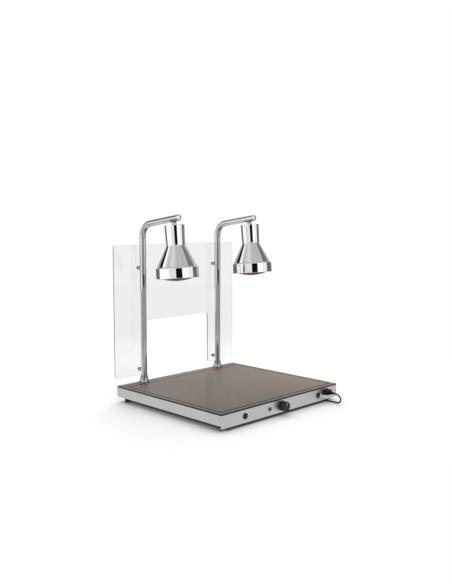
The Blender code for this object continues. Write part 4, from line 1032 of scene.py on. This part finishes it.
# ------------------------------------------------------------------ lamps
z0, z1, z2, z3, z4 = T, T - 0.0780, T - 0.1580, T - 0.1630, T - LAMP_LEN
t = 0.0010
for side, sx in (("left", -1), ("right", 1)):
    Pv = Vector((sx * POST_X, PIVOT_Y, PIVOT_Z))
    SW = Matrix.Translation(Pv) @ Matrix.Rotation(-ARM_RISE, 4, "X")
    LM = Matrix.Translation(Pv) @ Matrix.Rotation(-LAMP_TILT, 4, "X")
    sb, lb = side + "_swivel", side + "_lamp"
    # swivel stem: threaded stud, collar and fork
    prof = fillet([(0, 0.0165), (0.0040, 0.0165), (0.0045, 0.0160), (0.0045, 0.0053), (0.0080, 0.0053, 0.0006), (0.0088, 0.0046, 0.0004), (0.0088, -0.0042, 0.0008),
                   (0, -0.0042)], 4)
    stem = lathe(side + "_stem", prof, 48, False)
    bm = bmesh.new()
    box_bm(bm, (-0.0040, -0.02, -0.02), (0.0040, 0.02, 0.0038))
    cut(stem, bm)
    for s in (-1, 1):
        bm = bmesh.new()
        box_bm(bm, (-0.02, 0.0045 if s > 0 else -0.02, -0.02), (0.02, 0.02 if s > 0 else -0.0045, 0.0030))
        cut(stem, bm)
    stem.data.transform(SW)
    smooth(stem, 35)
    put(stem, chrome_dk, sb, "chrome", side + "_swivel_stem")
    prof = fillet([(0, 0.0092), (0.0016, 0.0092, 0.0004), (0.0016, -0.0092, 0.0004), (0, -0.0092)], 3)
    pin = lathe(side + "_pin", prof, 24, False, SW @ Matrix.Rotation(math.radians(90), 4, "Y"))
    put(pin, chrome_dk, sb, "chrome", side + "_tilt_pin")
    # neck cap with its tongue and a ring of vent holes
    prof = fillet([(0, T), (0.0345, T, 0.0010), (0.0359, T - 0.0012, 0.0006), (0.0359, T - 0.0060), (0.0349, T - 0.0060), (0.0349, T - 0.0016), (0, T - 0.0016)], 4)
    cap = lathe(side + "_cap_disc", prof, 72, False)
    bm = bmesh.new()
    for k in range(12):
        a = 2 * math.pi * (k + 0.5) / 12
        rod_bm(bm, (0.0262 * math.cos(a), 0.0262 * math.sin(a), T - 0.01), (0.0262 * math.cos(a), 0.0262 * math.sin(a), T + 0.01), 0.0030, seg=18)
    cut(cap, bm)
    bm = bmesh.new()
    box_bm(bm, (-0.0037, -0.0034, T - 0.0009), (0.0037, 0.0034, 0.0))
    cut(cap, bm, "UNION")
    bm = bmesh.new()
    rod_bm(bm, (-0.0037, 0, 0), (0.0037, 0, 0), 0.0034, seg=32)
    cut(cap, bm, "UNION")
    cap.data.transform(LM)
    smooth(cap, 35)
    put(cap, chrome_m, lb, "chrome", side + "_neck_cap")
    # neck with rolled top edge and a bead at its lower end
    prof = fillet([(0.0375, z0 - 0.0030), (0.0357, z1 + 0.0026, 0.0006), (0.0362, z1 + 0.0012, 0.0006), (0.0356, z1 + GAP, 0.0002),
                   (0.0356 - t, z1 + GAP), (0.0375 - t, z0 - 0.0030), (0.0375 - t, z0 - 0.0014, 0.0003), (0.0371, z0 - 0.0006, 0.0004),
                   (0.0375, z0 - 0.0014, 0.0004)], 4)
    put(lathe(side + "_neck", prof, 96, True, LM), chrome_m, lb, "chrome", side + "_lamp_neck")
    # shade: spun cone, rounded shoulder, rim band with a rolled lip
    prof = fillet([(0.0352, z1), (0.0358, z1 - 0.0006, 0.0004), (0.0362, z1 - 0.0020, 0.001), (0.0752, z2 - 0.0002, 0.0030), (0.0800, z3 + 0.0016, 0.0035),
                   (0.0803, z3 - 0.0030), (0.0803, z4 + 0.0022, 0.0006), (0.0805, z4 + 0.0012, 0.0005), (0.0803, z4, 0.0004), (0.0793, z4, 0.0004),
                   (0.0793, z3 - 0.0030), (0.0788, z3 + 0.0010, 0.0030), (0.0744, z2 - 0.0012, 0.0030), (0.0352, z1 - 0.0026), (0.0344, z1)], 6)
    put(lathe(side + "_shade", prof, 128, True, LM), chrome_m, lb, "chrome", side + "_lamp_shade")
    # bulb: ruby face and silvered back, screw cap with threads
    face_p = [(0.0613, T - 0.1740), (0.0624, T - 0.1790), (0.0628, T - 0.1850), (0.0625, T - 0.1920), (0.0613, T - 0.1975), (0.0595, T - 0.2010)]
    zf = z4 - 0.0109
    RF = 0.0595
    dome = []
    rho = (RF ** 2 + (T - 0.2010 - zf) ** 2) / (2 * (T - 0.2010 - zf))
    for k in range(1, 15):
        r = RF * (1 - k / 14)
        dome.append((r, zf + rho - math.sqrt(rho * rho - r * r)))
    inner = [(0, zf + 0.0012)] + [(max(0.0, r - 0.0006), z + 0.0012) for r, z in reversed(dome[:-1])] + [(0.0588, T - 0.2000), (0.0603, T - 0.1970), (0.0616, T - 0.1850), (0.0602, T - 0.1740)]
    put(lathe(side + "_bulb_face", face_p + dome + inner, 80, True, LM), bulb_m, lb, "red_glass")
    neck_p = [(0.0132, T - 0.0560), (0.0150, T - 0.0585), (0.0165, T - 0.0640), (0.0182, T - 0.0720), (0.0205, T - 0.0810), (0.0245, T - 0.0940), (0.0300, T - 0.1070),
              (0.0380, T - 0.1225), (0.0460, T - 0.1375), (0.0530, T - 0.1510), (0.0585, T - 0.1640), (0.0611, T - 0.1738)]
    neck_i = [(r - 0.0010, z) for r, z in reversed(neck_p)]
    put(lathe(side + "_bulb_back", neck_p + neck_i, 72, True, LM), chrome_in, lb, "red_glass", side + "_bulb")
    prof = [(0, T - 0.0262), (0.0042, T - 0.0266), (0.0048, T - 0.0285), (0.0100, T - 0.0312), (0.0122, T - 0.0328)]
    for k in range(7):
        z = T - 0.0335 - k * 0.0031
        prof += [(0.0131, z), (0.0125, z - 0.0015)]
    prof += [(0.0130, T - 0.0556), (0, T - 0.0556)]
    put(lathe(side + "_bulb_screw_cap", prof, 40, False, LM), brass_m, lb)

# ------------------------------------------------------------------ floor and studio light
bm = bmesh.new()
bmesh.ops.create_circle(bm, cap_ends=True, segments=96, radius=4.6)
floor = from_bm("floor", bm)
floor.location = (0, 0, -0.0002)
fm = M("studio_floor", (0.90, 0.90, 0.90), 0.9)
fnt = fm.nt
fnt.nodes.remove(fm.b)
fout = [n for n in fnt.nodes if n.type == "OUTPUT_MATERIAL"][0]
# white paper with a painted contact shadow under the base, fading into pure white away from the object; mirrors see it
# as an even grey sweep
dif = fm.n("ShaderNodeBsdfDiffuse")
fsep = fm.n("ShaderNodeSeparateXYZ")
ftc = fm.n("ShaderNodeTexCoord")
fm.l(ftc.outputs["Object"], fsep.inputs[0])


def fmath(op, a, b=None):
    nd = fm.n("ShaderNodeMath", operation=op)
    for i, v in enumerate((a, b)):
        if v is None:
            continue
        if hasattr(v, "is_linked"):
            fm.l(v, nd.inputs[i])
        else:
            nd.inputs[i].default_value = v
    return nd.outputs[0]


# painted contact shadow: the floor colour darkens to 0.22 under the base, out to 5 mm past its front and rear edges but
# stopping well inside its sides
under = fmath("MAXIMUM", fmath("SUBTRACT", fmath("ABSOLUTE", fsep.outputs[0]), HALF_W - 0.030),
              fmath("SUBTRACT", fmath("ABSOLUTE", fmath("SUBTRACT", fsep.outputs[1], (Y_FRONT + Y_REAR) / 2)), (Y_REAR - Y_FRONT) / 2 + 0.002))
shade = fm.n("ShaderNodeMapRange", interpolation_type="SMOOTHSTEP")
shade.inputs["From Min"].default_value = -0.016
shade.inputs["From Max"].default_value = 0.003
shade.inputs["To Min"].default_value = 0.22
shade.inputs["To Max"].default_value = 0.90
fm.l(under, shade.inputs["Value"])
fm.l(shade.outputs["Result"], dif.inputs["Color"])
lit = fm.n("ShaderNodeEmission")
lit.inputs["Color"].default_value = (1, 1, 1, 1)
lit.inputs["Strength"].default_value = 1.0
grey = fm.n("ShaderNodeEmission")
grey.inputs["Color"].default_value = (1, 1, 1, 1)
gtc = fm.n("ShaderNodeTexCoord")
glen = fm.n("ShaderNodeVectorMath", operation="LENGTH")
fm.l(gtc.outputs["Object"], glen.inputs[0])
fade = fm.n("ShaderNodeMapRange", interpolation_type="SMOOTHSTEP")
fade.inputs["From Min"].default_value = 0.75
fade.inputs["From Max"].default_value = 1.9
fade.inputs["To Min"].default_value = 0.0
fade.inputs["To Max"].default_value = 1.0
fm.l(glen.outputs["Value"], fade.inputs["Value"])
gfade = fm.n("ShaderNodeMapRange", interpolation_type="SMOOTHSTEP")
gfade.inputs["From Min"].default_value = 0.75
gfade.inputs["From Max"].default_value = 1.35
gfade.inputs["To Min"].default_value = 0.60
gfade.inputs["To Max"].default_value = 0.43
fm.l(glen.outputs["Value"], gfade.inputs["Value"])
fm.l(gfade.outputs["Result"], grey.inputs["Strength"])
m1 = fm.n("ShaderNodeMixShader")
fm.l(fade.outputs["Result"], m1.inputs[0])
fm.l(dif.outputs[0], m1.inputs[1])
fm.l(lit.outputs[0], m1.inputs[2])
flp = fm.n("ShaderNodeLightPath")
m2 = fm.n("ShaderNodeMixShader")
only = fm.n("ShaderNodeMath", operation="GREATER_THAN")
diff_ = fm.n("ShaderNodeMath", operation="SUBTRACT")
fm.l(flp.outputs["Is Glossy Ray"], diff_.inputs[0])
fm.l(flp.outputs["Is Transmission Ray"], diff_.inputs[1])
fm.l(diff_.outputs[0], only.inputs[0])
only.inputs[1].default_value = 0.5
fm.l(only.outputs[0], m2.inputs[0])
fm.l(m1.outputs[0], m2.inputs[1])
fm.l(grey.outputs[0], m2.inputs[2])
fm.l(m2.outputs[0], fout.inputs["Surface"])
floor.data.materials.append(fm.m)

world = bpy.data.worlds.new("studio")
scene.world = world
world.use_nodes = True
wt = world.node_tree
wt.nodes.clear()


def wn(kind, **kw):
    nd = wt.nodes.new(kind)
    for k, v in kw.items():
        setattr(nd, k, v)
    return nd


def wmath(op, a, b=None, c=None):
    nd = wn("ShaderNodeMath", operation=op)
    for i, v in enumerate((a, b, c)):
        if v is None:
            continue
        if hasattr(v, "is_linked"):
            wt.links.new(v, nd.inputs[i])
        else:
            nd.inputs[i].default_value = v
    return nd.outputs[0]


def step(v, a, b):
    """0 at a, 1 at b, smooth between."""
    nd = wn("ShaderNodeMapRange", interpolation_type="SMOOTHSTEP")
    nd.inputs["From Min"].default_value = min(a, b)
    nd.inputs["From Max"].default_value = max(a, b)
    nd.inputs["To Min"].default_value = 0.0 if a < b else 1.0
    nd.inputs["To Max"].default_value = 1.0 if a < b else 0.0
    wt.links.new(v, nd.inputs["Value"])
    return nd.outputs["Result"]


tc = wn("ShaderNodeTexCoord")
sep = wn("ShaderNodeSeparateXYZ")
wt.links.new(tc.outputs["Generated"], sep.inputs[0])
X, Y, Z = sep.outputs
c45 = math.cos(math.radians(45))
# azimuth from the direction (-1, -1): positive towards (+1, -1); elevation in degrees
rr_ = wmath("SUBTRACT", wmath("MULTIPLY", X, c45), wmath("MULTIPLY", Y, c45))
tt_ = wmath("MULTIPLY", wmath("ADD", X, Y), -c45)
az = wmath("MULTIPLY", wmath("ARCTAN2", rr_, tt_), 180 / math.pi)
el = wmath("MULTIPLY", wmath("ARCSINE", Z), 180 / math.pi)


def card(a0, a1, e0, e1, soft_a=4.0, soft_e=4.0):
    m_ = wmath("MULTIPLY", step(az, a0 - soft_a, a0 + soft_a), step(az, a1 + soft_a, a1 - soft_a))
    n_ = wmath("MULTIPLY", step(el, e0 - soft_e, e0 + soft_e), step(el, e1 + soft_e, e1 - soft_e))
    return wmath("MULTIPLY", m_, n_)


def blend_to(base, mask, value):
    nd = wn("ShaderNodeMix", data_type="FLOAT")
    wt.links.new(mask, nd.inputs[0])
    if hasattr(base, "is_linked"):
        wt.links.new(base, nd.inputs[2])
    else:
        nd.inputs[2].default_value = base
    nd.inputs[3].default_value = value
    return nd.outputs[0]


# bright tent in front, darker behind, mid grey overhead, black flags for the chrome
lum = 1.22
lum = blend_to(lum, card(-260, -106, -90, 95, 4, 1), 0.17)
lum = blend_to(lum, card(62, 260, -90, 95, 4, 1), 0.96)
lum = blend_to(lum, card(97, 260, -90, 95, 4, 1), 0.15)
lum = blend_to(lum, card(-260, -135, 4, 95, 12, 3), 0.50)
lum = blend_to(lum, card(135, 260, 4, 95, 12, 3), 0.50)
lum = blend_to(lum, card(-400, 400, 38, 120, 1, 9), 0.53)
lum = blend_to(lum, card(-62, -18, 44, 80, 26, 8), 0.76)
lum = blend_to(lum, card(-42, -5, -90, 26, 4, 4), 0.86)
lum = blend_to(lum, card(-4, 31, -90, 26, 1.5, 4), 0.004)      # black stand beside the camera
lum = blend_to(lum, card(-131, -108, 8, 88, 2, 4), 0.006)        # black flag at the left
lum = blend_to(lum, card(98, 110, 8, 75, 3, 5), 0.10)          # narrow dark flag at the right
lum = blend_to(lum, card(-15, 72, -9.5, -3.2, 3, 0.7), 0.05)      # low dark skirting
# faint upright folds of the tent cloth
cmb = wn("ShaderNodeCombineXYZ")
wt.links.new(wmath("MULTIPLY", az, 0.16), cmb.inputs[0])
wt.links.new(wmath("MULTIPLY", el, 0.012), cmb.inputs[1])
folds = wn("ShaderNodeTexNoise")
folds.inputs["Scale"].default_value = 1.0
folds.inputs["Detail"].default_value = 3.0
wt.links.new(cmb.outputs[0], folds.inputs["Vector"])
fold = wmath("ADD", 1.0, wmath("MULTIPLY", wmath("SUBTRACT", folds.outputs["Fac"], 0.5), wmath("MULTIPLY", step(el, 30, 46), 0.9)))
lum = wmath("MULTIPLY", lum, fold)
lp = wn("ShaderNodeLightPath")
bg_cam = wn("ShaderNodeBackground")
bg_cam.inputs["Color"].default_value = (1.0, 1.0, 1.0, 1)
bg_cam.inputs["Strength"].default_value = 1.0
bg_env = wn("ShaderNodeBackground")
bg_env.inputs["Color"].default_value = (1.0, 1.0, 1.0, 1)
# matt surfaces are lit mostly from above and behind
back_ = wmath("MULTIPLY", wmath("ADD", X, Y), c45)
soft = wmath("ADD", wmath("ADD", 0.40, wmath("MULTIPLY", wmath("MAXIMUM", Z, 0.0), 0.96)), wmath("MULTIPLY", back_, 0.28))
nd_ = wn("ShaderNodeMix", data_type="FLOAT")
wt.links.new(lp.outputs["Is Diffuse Ray"], nd_.inputs[0])
wt.links.new(lum, nd_.inputs[2])
wt.links.new(soft, nd_.inputs[3])
wt.links.new(nd_.outputs[0], bg_env.inputs["Strength"])
mixs = wn("ShaderNodeMixShader")
# straight through the clear guard the backdrop stays white; mirrored views of it do not
direct = wmath("SUBTRACT", 1.0, wmath("MINIMUM", 1.0, wmath("ADD", lp.outputs["Glossy Depth"], lp.outputs["Diffuse Depth"])))
wt.links.new(wmath("MAXIMUM", lp.outputs["Is Camera Ray"], wmath("MULTIPLY", lp.outputs["Is Transmission Ray"], direct)), mixs.inputs[0])
wt.links.new(bg_env.outputs[0], mixs.inputs[1])
wt.links.new(bg_cam.outputs[0], mixs.inputs[2])
out = wn("ShaderNodeOutputWorld")
wt.links.new(mixs.outputs[0], out.inputs[0])

key = bpy.data.lights.new("soft_key", "AREA")
key.shape = "RECTANGLE"
key.size, key.size_y = 1.6, 1.2
key.energy = 19.0
key_ob = bpy.data.objects.new("soft_key", key)
key_ob.location = (0.7, 1.3, 2.6)
key_ob.rotation_euler = (Vector((0, 0, 0.1)) - key_ob.location).to_track_quat("-Z", "Y").to_euler()
key_ob.visible_camera = False
key_ob.visible_glossy = False
scene.collection.objects.link(key_ob)

scene.view_settings.view_transform = "Standard"
scene.view_settings.look = "None"
